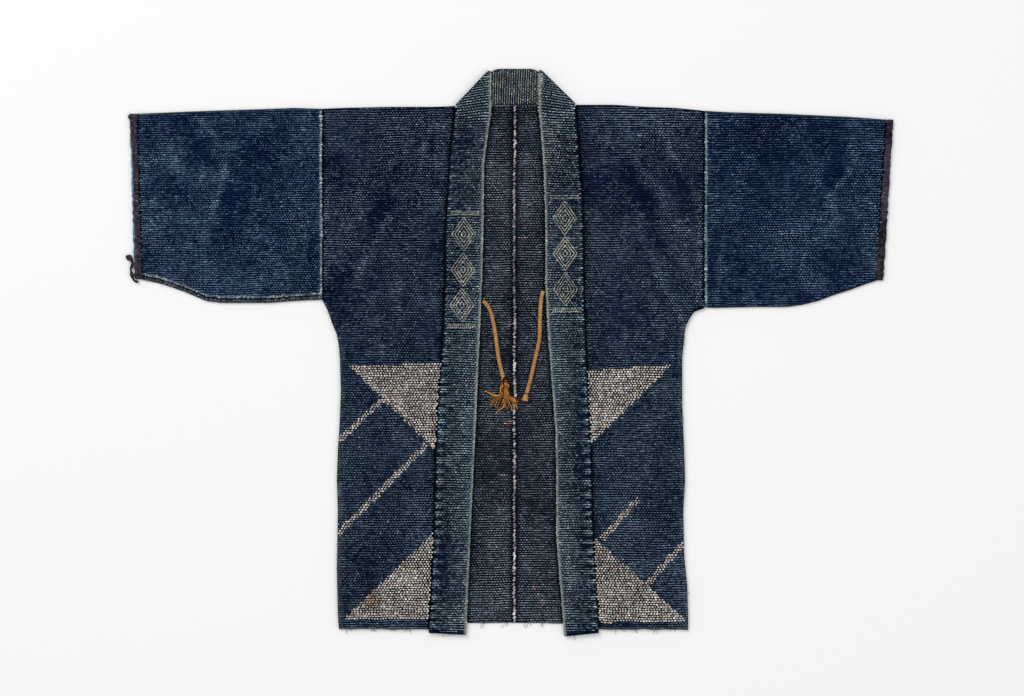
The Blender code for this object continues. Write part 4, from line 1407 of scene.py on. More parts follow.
@dataclass
class CollarBand(Piece):
    """The long band folded lengthwise: up one front, behind the neck and down the other."""

    slot: ClassVar[str] = "indigo_collar"
    sewn: tuple[Seam, Seam]
    free: tuple[Seam, Seam]
    turns: tuple[tuple[Point, Point], tuple[Point, Point]]
    hems: tuple[Point, Point] = BAND_HEMS
    quilting: Quilting = field(default_factory=lambda: Quilting(seed=26))
    neck_quilting: Quilting = field(default_factory=lambda: Quilting(seed=27, upright=True))

    def _lift(self, y: Array) -> Array:
        """How far the band sits from its highest place, rising near the shoulder."""
        return BAND_LOW * (1.0 - smooth_step((y - BAND_RISE_FROM) / (BAND_RISE_TO - BAND_RISE_FROM)))

    def _lapel(self, side: int) -> Sections:
        """Cross-sections from a front's hem up to and round the neck fold.

        Args:
            side: 0 for left and 1 for right.

        Returns:
            Sewn points, free points, turn angles, lifts and how far rows are raised.
        """
        turn = np.array(self.turns[side])
        count = round((BAND_FAN_FROM - self.hems[side][0]) / ROW_PITCH * LINES_PER_ROW) + 1
        way = np.linspace(0.0, 1.0, count)
        fan = np.linspace(0.0, 1.0, 25)[1:, None]
        rolls = 9
        ends = []
        for seam, hem, corner in zip((self.sewn[side], self.free[side]), self.hems[side], turn):
            y = hem + way * (BAND_FAN_FROM - hem)
            rows = np.stack([seam.at(y), y], -1)
            fanned = rows[-1] + fan * (corner - rows[-1])
            ends.append(np.concatenate([rows, fanned, np.repeat(corner[None], rolls, axis=0)]))
        start, end = ends
        steps = np.arange(1, rolls + 1) / (rolls + 1)
        upright = np.full(len(start) - rolls, math.pi / 2.0)
        angle = np.concatenate([upright, math.pi / 2.0 - math.pi * steps])
        fading = 1.0 - smooth_step(fan[:, 0] * 4.0)
        raised = np.concatenate([np.ones(count), fading, np.zeros(rolls)])
        lift = np.concatenate([self._lift(start[:count, 1]), np.zeros(len(fan) + rolls)])
        return start, end, angle, lift, raised

    def _neck(self) -> Sections:
        """Cross-sections behind the neck, outer face down, from left to right.

        Returns:
            The same five rows as for a lapel.
        """
        (low_a, high_a), (low_b, high_b) = (np.array(turn) for turn in self.turns)
        low_l, high_l = np.array([NECK_LEFT_X, NECK_SEAM_Y]), np.array([NECK_LEFT_X, NECK_TOP_Y])
        low_r, high_r = np.array([NECK_RIGHT_X, NECK_SEAM_Y]), np.array([NECK_RIGHT_X, NECK_TOP_Y])
        fan = np.linspace(0.0, 1.0, 25)[:, None]
        count = round((NECK_RIGHT_X - NECK_LEFT_X) / ROW_PITCH * LINES_PER_ROW)
        even = np.linspace(0.0, 1.0, count + 1)[1:, None]
        rise = np.concatenate([fan, 1.0 - (1.0 - fan) ** 2.5], axis=1)
        fall = np.concatenate([fan, fan**2.5], axis=1)
        start = np.concatenate([
            low_a + fan * (low_l - low_a), low_l + even * (low_r - low_l),
            low_r + fan[1:] * (low_b - low_r),
        ])
        end = np.concatenate([
            high_a + rise * (high_l - high_a), high_l + even * (high_r - high_l),
            high_r + fall[1:] * (high_b - high_r),
        ])
        raised = np.concatenate([0.0 * fan[:, 0], np.ones(count), 0.0 * fan[1:, 0]])
        return start, end, np.full(len(start), -math.pi / 2.0), np.zeros(len(start)), raised

    def _profile(self) -> Array:
        """Share of the width, inset from it, height and how far the rows raise it."""
        shares = (0.18, 0.34, 0.5, 0.66, 0.82)
        return np.array([
            (0.0, 0.0, 0.0, 0.0), (0.0, 0.0, 2.2, 0.0), (0.0, 1.0, 2.5, 0.0), (0.0, 0.0, 2.8, 0.0),
            (0.0, 0.2, 4.2, 0.3), (0.0, 1.4, 4.9, 0.8), (0.0, 3.6, 5.0, 1.0),
            *((share, 0.0, 5.1, 1.0) for share in shares),
            (1.0, -5.0, 5.0, 1.0), (1.0, -2.2, 4.75, 0.7), (1.0, -0.6, 4.0, 0.3),
            (1.0, 0.0, 2.6, 0.0), (1.0, -0.8, 0.9, 0.0), (1.0, -2.6, 0.0, 0.0),
            *((share, 0.0, 0.0, -1.0) for share in shares[::-1]),
        ])

    def build(self) -> Item:
        """Carry the band's closed profile along its path, turning it at each neck fold.

        Returns:
            The shell.
        """
        left, right, neck = self._lapel(0), self._lapel(1), self._neck()
        start, end, angle, lift, raised = (
            np.concatenate([a, b, c[::-1]]) for a, b, c in zip(left, neck, right)
        )
        slant = math.sqrt(0.5)
        middle = (len(start) - len(right[0]) + len(left[0])) / 2.0
        behind = (angle < -1.5)[:, None]
        outward = np.where(np.arange(len(start))[:, None] < middle, (-slant, slant), (slant, slant))
        outward = np.where(behind, (0.0, 1.0), outward)
        share, inset, height, ribbed = self._profile().T
        width = np.linalg.norm(end - start, axis=1)[:, None]
        way = (end - start) / width
        reach = share * width + inset
        x = start[:, :1] + reach * way[:, :1]
        y = start[:, 1:] + reach * way[:, 1:]
        ridge = np.where(behind, self.neck_quilting.ridge(x, y), self.quilting.ridge(x, y))
        face = np.where(behind, np.minimum(ribbed, 0.0), np.clip(ribbed, 0.0, 1.0))
        radius = BAND_INNER + height + self._swell(x, y) * (height > 4.0) * ~behind
        radius = radius + RIDGE_RISE * raised[:, None] * face * ridge
        flat = radius * np.cos(angle)[:, None]
        z = BAND_CENTRE + lift[:, None] + radius * np.sin(angle)[:, None]
        work = Patchwork()
        points = join(x + flat * outward[:, :1], y + flat * outward[:, 1:], z)
        work.caps(work.add(points, closed=True), 12)
        shell = work.build(self.name)
        self._paint(shell)
        return self.dress(shell)

    def _share(self, side: int, x: Array, y: Array) -> Array:
        """How far across the band a place is: 0 at the sewn edge and 1 at the free one."""
        sewn, free = self.sewn[side].at(y), self.free[side].at(y)
        return (x - sewn) / (free - sewn)

    def _lower(self, y: Array) -> Array:
        """1 on the lower half of the band and 0 well above the ties."""
        return smooth_step((60.0 - y) / 140.0)

    def _pucker(self, x: Array, y: Array) -> Array:
        """Gathers along the sewn edge, from -1 to 1, gone by a third of the way across.

        Args:
            x: Places across.
            y: Places along.

        Returns:
            The gathers.
        """
        wave = np.sin(2.0 * np.pi * (y + 5.0 * Cloud(31, 40.0).at(0.0, y)) / 16.5)
        near = sum(bell(self._share(side, x, y) - 0.05, 0.15) for side in (0, 1))
        return wave * near * smooth_step((400.0 - y) / 20.0) * (0.3 + 0.7 * self._lower(y))

    def _wear_and_gather_shading(self, x: Array, y: Array) -> Array:
        """Change of wear over the band, pale by the free edge, with painted light and shade on the gathers
        by the seam: paler tops and darker hollows.

        Args:
            x: Places across.
            y: Places along.

        Returns:
            The change.
        """
        # Painted light and shade on the gathers: paler on their tops, darker in their hollows.
        change = (0.62 + 0.15 * Cloud(30, 50.0).at(x, y)) * self._pucker(x, y)
        for side in (0, 1):
            share = self._share(side, x, y)
            here = ((share > -0.1) & (share < 1.1)) * smooth_step((404.0 - y) / 24.0)
            fade = 0.2 * smooth_step((share - 0.4) / 0.5)
            fade = fade - 0.18 * (0.3 + 0.7 * self._lower(y)) * bell(share - 0.28, 0.14)
            change = change + here * (fade + 0.35 * bell(share - 0.03, 0.06))
        neck = 0.5 * (y > NECK_FROM) * (np.abs(x - 9.0) < 44.0)
        neck = neck + 0.34 * smooth_step((y - BAND_FAN_FROM + 20.0) / 30.0)
        return change + 0.16 * bell(y + 60.0, 110.0) + neck

    def _stain(self, x: Array, y: Array, tones: Array) -> Array:
        """The colours, with the brownish stains of the band."""
        brown = STAIN_BROWN * (tones.mean(axis=-1, keepdims=True) / 0.12)
        return mix(tones, np.clip(brown, 0.0, 0.6), strongest(BAND_STAINS, x, y))

    def _swell(self, x: Array, y: Array) -> Array:
        """Slow unevenness of the band's upper face, with the gathers."""
        slow = 0.25 * Cloud(28, 60.0).at(x, y) + 0.15 * Cloud(29, 25.0).at(x, y)
        return smooth_step((380.0 - y) / 40.0) * (slow + 0.45 * self._pucker(x, y))

    def _paint(self, shell: Item) -> None:
        """Dye the band, pale and thin along its free edge, with painted shade between the rows and painted
        light and shade on the gathers.

        Args:
            shell: The shell.
        """
        x, y, z = points_of(shell)
        # The dye holds the band's wear and the painted light and shade of the gathers.
        mixed = BAND_CLOTH.tones(x, y, fading=self._wear_and_gather_shading(x, y))
        shade = np.where(y[:, None] < BAND_FAN_FROM + 4.0, self.quilting.shade(x, y), 0.5)
        # Painted light: less painted shade between the rows on the tops of the gathers.
        shade = shade + (1.0 - shade) * 0.6 * np.clip(self._pucker(x, y), 0.0, 1.0)[:, None]
        behind = (z < 7.0) & (y > NECK_FROM)
        shade = np.where(behind[:, None], self.neck_quilting.shade(x, y), shade)
        edges = [smooth_step((3.7 - np.abs(x - free.at(y))) / 1.2) for free in self.free]
        here = (y < self.turns[0][1][1] - 1.0) * (z > 4.5) * ~(behind & (y > NECK_FROM + 2.0))
        worn = np.maximum(*edges) * here * (0.8 + 0.4 * Cloud(19, 12.0).at(x, y))
        tones = mix(mixed * shade, 0.62 * WORN_EDGE, np.clip(worn, 0.0, 1.0))
        paint(shell, self._stain(x, y, tones))

    def sew(self) -> None:
        """Sew both lapels with their lozenges, and the strip behind the neck."""
        for side, hand in enumerate(Hand):
            self._sew_lapel(side, hand)
            self._sew_edge(side, hand)
            self._sew_lozenges(side, hand)
        self._sew_neck()

    def _top(self, x: Array, y: Array, past: Array | float = 0.0) -> Array:
        """Height of the band's upper face on its rows.

        Args:
            x: Places across.
            y: Places along.
            past: How far beyond the neck fold they are.

        Returns:
            The height.
        """
        radius = BAND_INNER + BAND_THICK + 0.1
        arc = np.sqrt(np.maximum(radius**2 - np.asarray(past) ** 2, 0.01))
        rows = RIDGE_RISE * smooth_step((BAND_FAN_FROM + 8.0 - y) / 8.0)
        return BAND_CENTRE + self._lift(y) + arc + rows + self._swell(x, y)

    def _beyond(self, side: int, x: Array, y: Array) -> Array:
        """How far past a neck fold places are, counted along X from left to right.

        Args:
            side: 0 for left and 1 for right.
            x: Places across.
            y: Places along.

        Returns:
            The distance, negative before it.
        """
        low, high = np.array(self.turns[side])
        slope = (high - low) / np.linalg.norm(high - low)
        return (x - low[0]) * slope[1] - (y - low[1]) * slope[0]

    def _tilt(self, y: Array) -> Array:
        """How much the rows tilt near the neck."""
        return BAND_TILT * smooth_step((y - BAND_TILT_FROM) / 40.0)

    def _sew_lapel(self, side: int, hand: Hand) -> None:
        """Level rows up a lapel, tilting a little at the neck and carried over its fold.

        Args:
            side: 0 for left and 1 for right.
            hand: The same side.
        """
        x, y = self.quilting.places((-150.0, -458.0), (160.0, 470.0))
        turn, inward = self.turns[side], -hand.value
        across = inward * (x - self.sewn[side].at(y))
        y = y + self._tilt(y) * np.clip(across, 0.0, 60.0)
        away = inward * self._beyond(side, x, y)
        edge = np.where(y < BAND_FAN_FROM, self.free[side].at(y), turn[1][0])
        room = inward * (edge - x)
        keep = (across > np.where(y > turn[0][1] + 1.0, -6.0, 2.2)) & (room > 2.6) & (away > -4.6)
        keep &= (y > self.hems[side][0] + 2.5) & (np.abs(across) < 75.0)
        x, y, room, away = x[keep], y[keep], room[keep], away[keep]
        z = self._top(x, y, np.minimum(away, 0.0)) - 0.5 * (1.0 - np.clip(room / 5.0, 0.0, 1.0))
        # The thread takes the band's wear and the painted light and shade of the gathers.
        tones = BAND_THREAD.tones(x, y, fading=self._wear_and_gather_shading(x, y))
        tones = mix(tones, 0.72 * WORN_EDGE, 0.7 * smooth_step((4.4 - room) / 1.4))
        name = f"{hand.name.lower()}_stitches"
        tilt = inward * np.arctan(self._tilt(y))
        tones = self._stain(x, y, tones)
        self.stitch(name, join(x, y, z), tones, turn=tilt)

    def _sew_edge(self, side: int, hand: Hand) -> None:
        """Worn stitches that go over the free edge, one at each row's end.

        Args:
            side: 0 for left and 1 for right.
            hand: The same side.
        """
        rng = np.random.default_rng(35)
        y = np.arange(self.hems[side][1] + 2.0, 450.0, 0.62 * ROW_PITCH)
        y = y + 0.5 * rng.normal(size=len(y))
        inset = 1.5 + 0.4 * rng.normal(size=len(y))
        edge = np.where(y < BAND_FAN_FROM, self.free[side].at(y), self.turns[side][1][0])
        x = edge + hand.value * inset
        round_edge = np.interp(inset, [0.0, 0.6, 2.2, 5.0], [2.9, 4.1, 4.8, 5.2])
        self.stitch(
            f"{hand.name.lower()}_edge",
            join(x, y, BAND_CENTRE + BAND_INNER + self._lift(y) + round_edge),
            EDGE_THREAD.tones(x, y), length=3.6, width=1.7, turn=0.3 * rng.normal(size=len(y)),
        )

    def _sew_lozenges(self, side: int, hand: Hand) -> None:
        """Nested lozenges in pale running stitch on a lapel.

        Args:
            side: 0 for left and 1 for right.
            hand: The same side.
        """
        span = LOZENGE_SPANS[side]
        stops = np.linspace(span[0] - 10.0, span[1] + 10.0, 6)
        middle = 0.52 * self.sewn[side].at(stops) + 0.48 * self.free[side].at(stops)
        x, y, turn = Lozenges(Seam(tuple(zip(stops.tolist(), middle.tolist()))), *span).stitches()
        self.stitch(
            f"{hand.name.lower()}_lozenges", join(x, y, self._top(x, y) + 0.3),
            OUTLINE_THREAD.tones(x, y), turn=turn, length=2.5, width=1.25, height=0.5,
        )

    def _sew_neck(self) -> None:
        """Upright rows on the strip behind the neck, cut off by both neck folds."""
        x, y = self.neck_quilting.places((-90.0, 402.2), (110.0, 457.6))
        (_, high_a), (_, high_b) = self.turns
        level = NECK_TOP_Y - 0.4
        stops = [high_a[0], NECK_LEFT_X, NECK_RIGHT_X, high_b[0]]
        keep = y < np.interp(x, stops, [high_a[1], level, level, high_b[1]]) - 1.6
        for side, hand in enumerate(Hand):
            keep &= hand.value * self._beyond(side, x, y) < -2.4
        x, y = x[keep], y[keep]
        places, tones = join(x, y, BAND_THICK + 0.52), NECK_THREAD.tones(x, y)
        self.stitch("neck_stitches", places, tones, turn=math.pi / 2.0)


@dataclass
class CentreSeam(Piece):
    """The pale running stitches that join the two halves of the back."""

    spacing: float = 5.4
    length: float = 5.6
    width: float = 4.1
    slant: float = math.radians(66.0)

    def build(self) -> None:
        """Slanting stitches one after another along the seam, on both faces."""
        rng = np.random.default_rng(33)
        y = np.arange(BACK_HEM + 4.0, 398.0, self.spacing)
        y = y + 0.6 * rng.normal(size=len(y))
        x = CENTRE_SEAM + 0.4 * rng.normal(size=len(y)) + 0.8 * Cloud(36, 60.0).at(0.0, y)
        for name, z, facing, height in (
            ("inside", 2.75, Facing.UP, 0.95), ("under", UNDER_FACE, Facing.DOWN, 0.35),
        ):
            tones = SEAM_THREAD.tones(x, y)
            pink = (rng.random(len(y)) < 0.22)[:, None]
            self.stitch(
                name, join(x, y, z),
                np.where(pink, tones * np.array([1.12, 0.93, 0.92]), tones),
                turn=self.slant + 0.16 * rng.normal(size=len(y)), length=self.length,
                width=self.width, height=height, uneven=0.25, facing=facing, seed=34,
            )


def frames_along(path: Array) -> tuple[Array, Array]:
    """The two directions across a path that lies near the table.

    Args:
        path: Points of the centre line.

    Returns:
        Unit vectors sideways and up at every point.
    """
    ahead = np.gradient(path, axis=0)
    ahead /= np.linalg.norm(ahead, axis=1)[:, None]
    sideways = join(-ahead[:, 1], ahead[:, 0], 0.0)
    sideways /= np.linalg.norm(sideways, axis=1)[:, None] + 1e-9
    return sideways, np.cross(ahead, sideways)


def run_along(path: Array) -> Array:
    """How far along a path each of its points is."""
    return np.concatenate([[0.0], np.cumsum(np.linalg.norm(np.diff(path, axis=0), axis=1))])


def resample(points: Array, step: float) -> Array:
    """A smooth path through points at an even step, by cubic pieces.

    Args:
        points: Places that the path goes through.
        step: The distance between the new points.

    Returns:
        The new points.
    """
    mark = run_along(points)
    even = np.linspace(0.0, mark[-1], max(3, int(mark[-1] / step) + 1))
    slope = np.gradient(points, mark, axis=0)
    k = np.clip(np.searchsorted(mark, even, side="right") - 1, 0, len(mark) - 2)
    size = (mark[k + 1] - mark[k])[:, None]
    t = (even - mark[k])[:, None] / size
    start = (2 * t**3 - 3 * t**2 + 1) * points[k] + (t**3 - 2 * t**2 + t) * size * slope[k]
    end = (3 * t**2 - 2 * t**3) * points[k + 1] + (t**3 - t**2) * size * slope[k + 1]
    return start + end


def tube(path: Array, radius: Array, sides: int) -> tuple[Array, Array]:
    """A closed tube round a path.

    Args:
        path: Points of the centre line.
        radius: One radius for each point, or one for each point and side.
        sides: How many sides it has.

    Returns:
        Its points and triangles.
    """
    sideways, up = frames_along(path)
    angle = np.linspace(0.0, 2.0 * np.pi, sides, endpoint=False)[None, :, None]
    reach = np.broadcast_to(np.asarray(radius).reshape(len(path), -1), (len(path), sides))
    ring = sideways[:, None] * np.cos(angle) + up[:, None] * np.sin(angle)
    grid = path[:, None] + ring * reach[..., None]
    points = np.concatenate([grid.reshape(-1, 3), path[:1], path[-1:]])
    index = np.arange(len(path) * sides).reshape(len(path), sides)
    wide = np.concatenate([index, index[:, :1]], axis=1)
    faces = grid_faces(wide)
    faces.append(np.stack([wide[0, 1:], wide[0, :-1], np.full(sides, index.size)], -1))
    faces.append(np.stack([wide[-1, :-1], wide[-1, 1:], np.full(sides, index.size + 1)], -1))
    return points, np.concatenate(faces)


def bundle(name: str, parts: list[tuple[Array, Array]]) -> Item:
    """Several closed tubes as one piece.

    Args:
        name: The piece's name.
        parts: The points and triangles of each.

    Returns:
        The object.
    """
    first = np.cumsum([0] + [len(points) for points, _ in parts])
    faces = [triangles + start for (_, triangles), start in zip(parts, first)]
    return make_mesh(name, np.concatenate([p for p, _ in parts]), np.concatenate(faces), True)


@dataclass
class Tie(Piece):
    """An ochre braided cord with its end piece."""

    slot: ClassVar[str] = "ochre_cord"
    route: tuple[Point, ...]
    sides: int = 24
    braid: float = 11.0

    def build(self, ends: list[Item]) -> Item:
        """A tube whose radius follows two sets of strands winding opposite ways, painted paler on the
        strands and darker in the grooves.

        Args:
            ends: The pieces on the cord, not used.

        Returns:
            The cord.
        """
        path = resample(join(*np.array(self.route).T, TIE_HEIGHT), 0.7)
        run = run_along(path)
        angle = np.linspace(0.0, 2.0 * np.pi, self.sides, endpoint=False)[None, :]
        turn = 2.0 * np.pi * run[:, None] / self.braid
        strands = np.maximum(np.cos(2.0 * (angle + turn)), np.cos(2.0 * (angle - turn)))
        item = bundle(self.name, [tube(path, TIE_RADIUS * (0.93 + 0.1 * strands), self.sides)])
        x, y, _ = points_of(item)
        groove = np.append(strands.ravel(), [0.0, 0.0])
        # Painted light and shade on the braid: strand tops paler, the grooves between them darker.
        paint(item, TIE_DYE.tones(x, y) * (0.84 + 0.2 * groove)[:, None])
        self.dress(item)
        log.info("%s is %.0f mm long", self.name, run[-1])
        return item


@dataclass
class Tassel(Piece):
    """The frayed end of the left cord: strands that keep together, then fan out and droop."""

    slot: ClassVar[str] = "ochre_cord"
    head: Point = (-8.8, -41.5)
    aim: float = math.radians(-97.0)
    spread: float = math.radians(66.0)
    body: float = 27.0
    strands: int = 58
    core_height: tuple[float, ...] = (2.2, 1.2, 0.0, -1.6, -3.6, -5.6, -7.2)
    core_girth: tuple[float, ...] = (3.0, 3.4, 3.5, 3.4, 3.2, 2.6, 1.4)

    def _strand(self, lean: float, rng: np.random.Generator) -> Array:
        """The path of one strand: it sways down the body, then leaves it at its own angle.

        Args:
            lean: Its place in the body, from -1 at the left to 1 at the right.
            rng: The source of chance.

        Returns:
            Its points.
        """
        down = np.linspace(0.0, 1.0, 9)
        out = down[1:]
        width = 4.0 + 3.8 * down**0.7
        sway = 0.75 * np.sin(2.0 * np.pi * (1.3 * down + rng.random())) * rng.normal()
        place = np.clip(lean * (0.3 + 0.7 * down) + 0.5 * sway, -1.0, 1.0)
        x = self.head[0] + 0.06 * self.body * down + width * place
        y = self.head[1] - (self.body + 3.0 * rng.normal()) * down
        reach = 14.0 + 16.0 * rng.random() + 8.0 * (lean < -0.9)
        turn = self.aim + self.spread * lean + 0.25 * rng.normal() + 0.7 * rng.normal() * out
        turn = turn + 0.3 * np.sin(9.0 * out + 6.0 * rng.random())
        x = np.append(x, x[-1] + np.cumsum(np.cos(turn)) * reach / 8.0)
        y = np.append(y, y[-1] + np.cumsum(np.sin(turn)) * reach / 8.0)
        high = TIE_HEIGHT + 3.0 * (rng.random() - 0.4)
        z = np.append(high + 0.0 * down, high + (3.9 + 1.6 * rng.random() - high) * out**0.7)
        return resample(join(x, y, np.maximum(z, 3.8)), 2.0)

    def build(self) -> Item:
        """Thin tubes for the strands and a thick one for the bound core.

        Returns:
            The tassel.
        """
        rng = np.random.default_rng(92)
        parts, shares = [], []
        for k in range(self.strands):
            path = self._strand(2.0 * (k + 0.5) / self.strands - 1.0, rng)
            parts.append(tube(path, np.linspace(0.66, 0.42, len(path)), 6))
            shares.append(np.full(6 * len(path) + 2, 0.5 * rng.normal()))
        height = np.array(self.core_height)
        core = resample(join(self.head[0] - 0.05 * height, self.head[1] + height, TIE_HEIGHT), 0.8)
        way = np.linspace(0.0, 1.0, len(core))
        parts.append(tube(core, np.interp(way, np.linspace(0.0, 1.0, 7), self.core_girth), 16))
        # The core among the strands is painted darker: painted shade between the strands.
        shares.append(np.full(16 * len(core) + 2, -0.3))
        item = bundle(self.name, parts)
        x, y, _ = points_of(item)
        paint(item, TASSEL_DYE.tones(x, y, fading=np.concatenate(shares)))
        return self.dress(item)


@dataclass
class Knot(Piece):
    """The knotted, flared end of the right cord."""

    slot: ClassVar[str] = "ochre_cord"
    start: Point = (26.7, -68.5)
    aim: Point = (-0.24, -0.97)
    height: float = 8.5
    sides: int = 28
    reach: tuple[float, ...] = (-0.9, 0.8, 2.4, 4.4, 6.8, 8.8, 9.8)
    girth: tuple[float, ...] = (3.5, 3.8, 3.5, 4.2, 5.1, 5.5, 4.9)

    def build(self) -> Item:
        """A wound knot with a flared cut end, its radius grooved by the windings.

        Returns:
            The knot.
        """
        even = np.linspace(self.reach[0], self.reach[-1], 24)[:, None]
        ahead = np.array([*self.aim, 0.0]) / math.hypot(*self.aim)
        path = np.array([*self.start, self.height]) + even * ahead
        angle = np.linspace(0.0, 2.0 * np.pi, self.sides, endpoint=False)[None, :]
        body = np.interp(even, self.reach, self.girth)
        wound = np.where(even < 2.6, np.cos(2.0 * angle + 2.6 * even), np.cos(9.0 * angle))
        item = bundle(self.name, [tube(path, body * (0.97 + 0.05 * wound), self.sides)])
        x, y, _ = points_of(item)
        shade = np.append(wound.ravel(), [0.0, 0.0])
        paint(item, KNOT_DYE.tones(x, y) * (0.85 + 0.18 * shade)[:, None])
        return self.dress(item)


@dataclass
class CuffBinding(Piece):
    """The dark whipped band round a cuff's edge."""

    slot: ClassVar[str] = "dark_binding"
    hand: Hand
    line: Seam
    low: float
    high: float
    whip: float = 3.1
    profile: tuple[Point, ...] = (
        (0.0, 1.3), (0.0, 3.6), (0.5, 5.0), (1.8, 5.9), (4.0, 6.3), (6.6, 6.35), (9.0, 6.0),
        (10.6, 5.2), (11.4, 4.0), (11.4, 1.2), (10.6, 0.15), (5.7, 0.1), (0.9, 0.2),
    )

    def build(self) -> Item:
        """A flat closed profile along the cuff, raised by slanting rounds of thread.

        Returns:
            The binding.
        """
        inset, level = np.array(self.profile).T[:, None, :]
        line = np.linspace(self.low, self.high, int((self.high - self.low) / self.whip * 5))
        y = line[:, None]
        x = self.line.at(y) - self.hand.value * inset
        rough = 0.8 * Cloud(40, 5.5).at(0.0, y) + 0.4 * np.cos(2.0 * np.pi * y / self.whip)
        x = x + self.hand.value * rough * (inset < 3.0)
        tall = (level > 3.0) * 1.0
        turn = 2.0 * np.pi * (y + 0.35 * inset) / self.whip
        z = level + (0.4 * np.cos(turn) + 0.5 * Cloud(37, 7.0).at(x, y + 0.0 * x)) * tall
        ends = smooth_step(np.minimum(y - self.low, self.high - y) / 2.0)
        z = 2.6 + (z - 2.6) * (0.35 + 0.65 * ends)
        if self.hand is Hand.LEFT:
            knob = bell(y - self.high + 5.0, 3.6)
            x = x + self.hand.value * knob * np.interp(inset, [0.0, 11.4], [2.6, -1.6])
            z = z + 1.4 * knob * tall
        work = Patchwork()
        work.caps(work.add(join(x, y, z), closed=True), 8)
        item = work.build(self.name)
        x, y, z = points_of(item)
        tones = BINDING_CLOTH.tones(x, y)
        if self.hand is Hand.LEFT:
            low, high = BLUE_CUFF
            outer = smooth_step((self.line.at(y) + 4.0 - x) / 1.6)
            outer = outer * smooth_step((high - y) / 10.0) * smooth_step((y - low) / 10.0)
            blue = SLEEVE_THREAD.tones(x, y) * (1.0 + 0.5 * Cloud(44, 4.0).at(x, y))[:, None]
            tones = mix(tones, blue, outer)
        paint(item, tones)
        self._whip()
        return self.dress(item)

    def _whip(self) -> None:
        """Rounds of thread over the band, of uneven reach and colour."""
        rng = np.random.default_rng(42)
        y = np.arange(self.low + 2.0, self.high - 2.0, 0.5 * self.whip)
        y = y + 0.5 * rng.normal(size=len(y))
        inset = 6.0 + 2.6 * rng.normal(size=len(y))
        if self.hand is Hand.LEFT:
            blue = (y > BLUE_CUFF[0]) & (y < BLUE_CUFF[1])
            inset = np.where(blue, 8.2 + 1.0 * rng.normal(size=len(y)), inset)
        x = self.line.at(y) - self.hand.value * np.clip(inset, 2.6, 9.4)
        self.stitch(
            "rounds", join(x, y, 5.9), BINDING_THREAD.tones(x, y),
            turn=0.35 * rng.normal(size=len(y)), length=5.0, width=2.0, height=1.0, uneven=0.3,
        )


@dataclass
class CuffThread(Piece):
    """A frayed end of binding thread that hangs from the left cuff's corner."""

    slot: ClassVar[str] = "dark_binding"
    route: tuple[tuple[float, float, float], ...]
    level: float = 4.3
    strands: int = 4

    def build(self) -> Item:
        """Thin strands twisted round one path, their ends a little apart.

        Returns:
            The thread.
        """
        route = np.array(self.route)
        core = resample(join(route[:, 0], route[:, 1], self.level), 1.0)
        share = np.linspace(0.0, 1.0, len(core))
        girth = np.interp(share, np.linspace(0.0, 1.0, len(route)), route[:, 2])
        girth = girth * (1.15 + 0.4 * np.sin(2.0 * np.pi * (3.4 * share + 0.15)))
        sideways, up = frames_along(core)
        parts = []
        for k in range(self.strands):
            turn = 2.0 * np.pi * (5.0 * share + k / self.strands)[:, None]
            path = core + 0.5 * girth[:, None] * (np.cos(turn) * sideways + np.sin(turn) * up)
            points, faces = tube(path, 0.52 * girth * (1.0 - 0.1 * k), 8)
            points[:, 2] = np.maximum(points[:, 2], 0.2)
            parts.append((points, faces))
        item = bundle(self.name, parts)
        x, y, _ = points_of(item)
        paint(item, CUFF_THREAD.tones(x, y))
        return self.dress(item)


@dataclass
class HemFrays(Piece):
    """Short loose threads where the hems have worn through."""

    spots: tuple[Point, ...] = (
        (-180.0, -447.0), (-161.0, -447.0), (-262.0, -446.5), (-44.0, -438.5), (51.0, -438.5),
        (176.0, -447.0), (238.0, -447.0), (-96.0, -455.5), (104.0, -456.5), (-220.0, -446.5),
        (-132.0, -446.5), (-8.0, -438.5), (28.0, -438.5), (205.0, -447.0), (262.0, -447.0),
    )
    threads: int = 3

    def build(self) -> Item:
        """Curled strands at each spot, lying down past the hem.

        Returns:
            The frays.
        """
        rng = np.random.default_rng(47)
        share = np.linspace(0.0, 1.0, 8)
        parts = []
        for x, y in self.spots * self.threads:
            step = (6.0 + 6.0 * rng.random()) / 7.0
            turn = math.radians(-90.0) + 0.5 * rng.normal() + 1.1 * rng.normal() * share
            path = join(
                x + 3.0 * rng.normal() + np.cumsum(np.cos(turn)) * step,
                y + 3.0 + np.cumsum(np.sin(turn)) * step,
                4.9 * (1.0 - share) + 0.5 * share + 0.2,
            )
            parts.append(tube(path, 0.38 * (1.0 - 0.4 * share), 5))
        item = bundle(self.name, parts)
        x, y, _ = points_of(item)
        paint(item, FRAY_THREAD.tones(x, y))
        return self.wardrobe.dress(item, self.wardrobe.thread, "indigo_body")


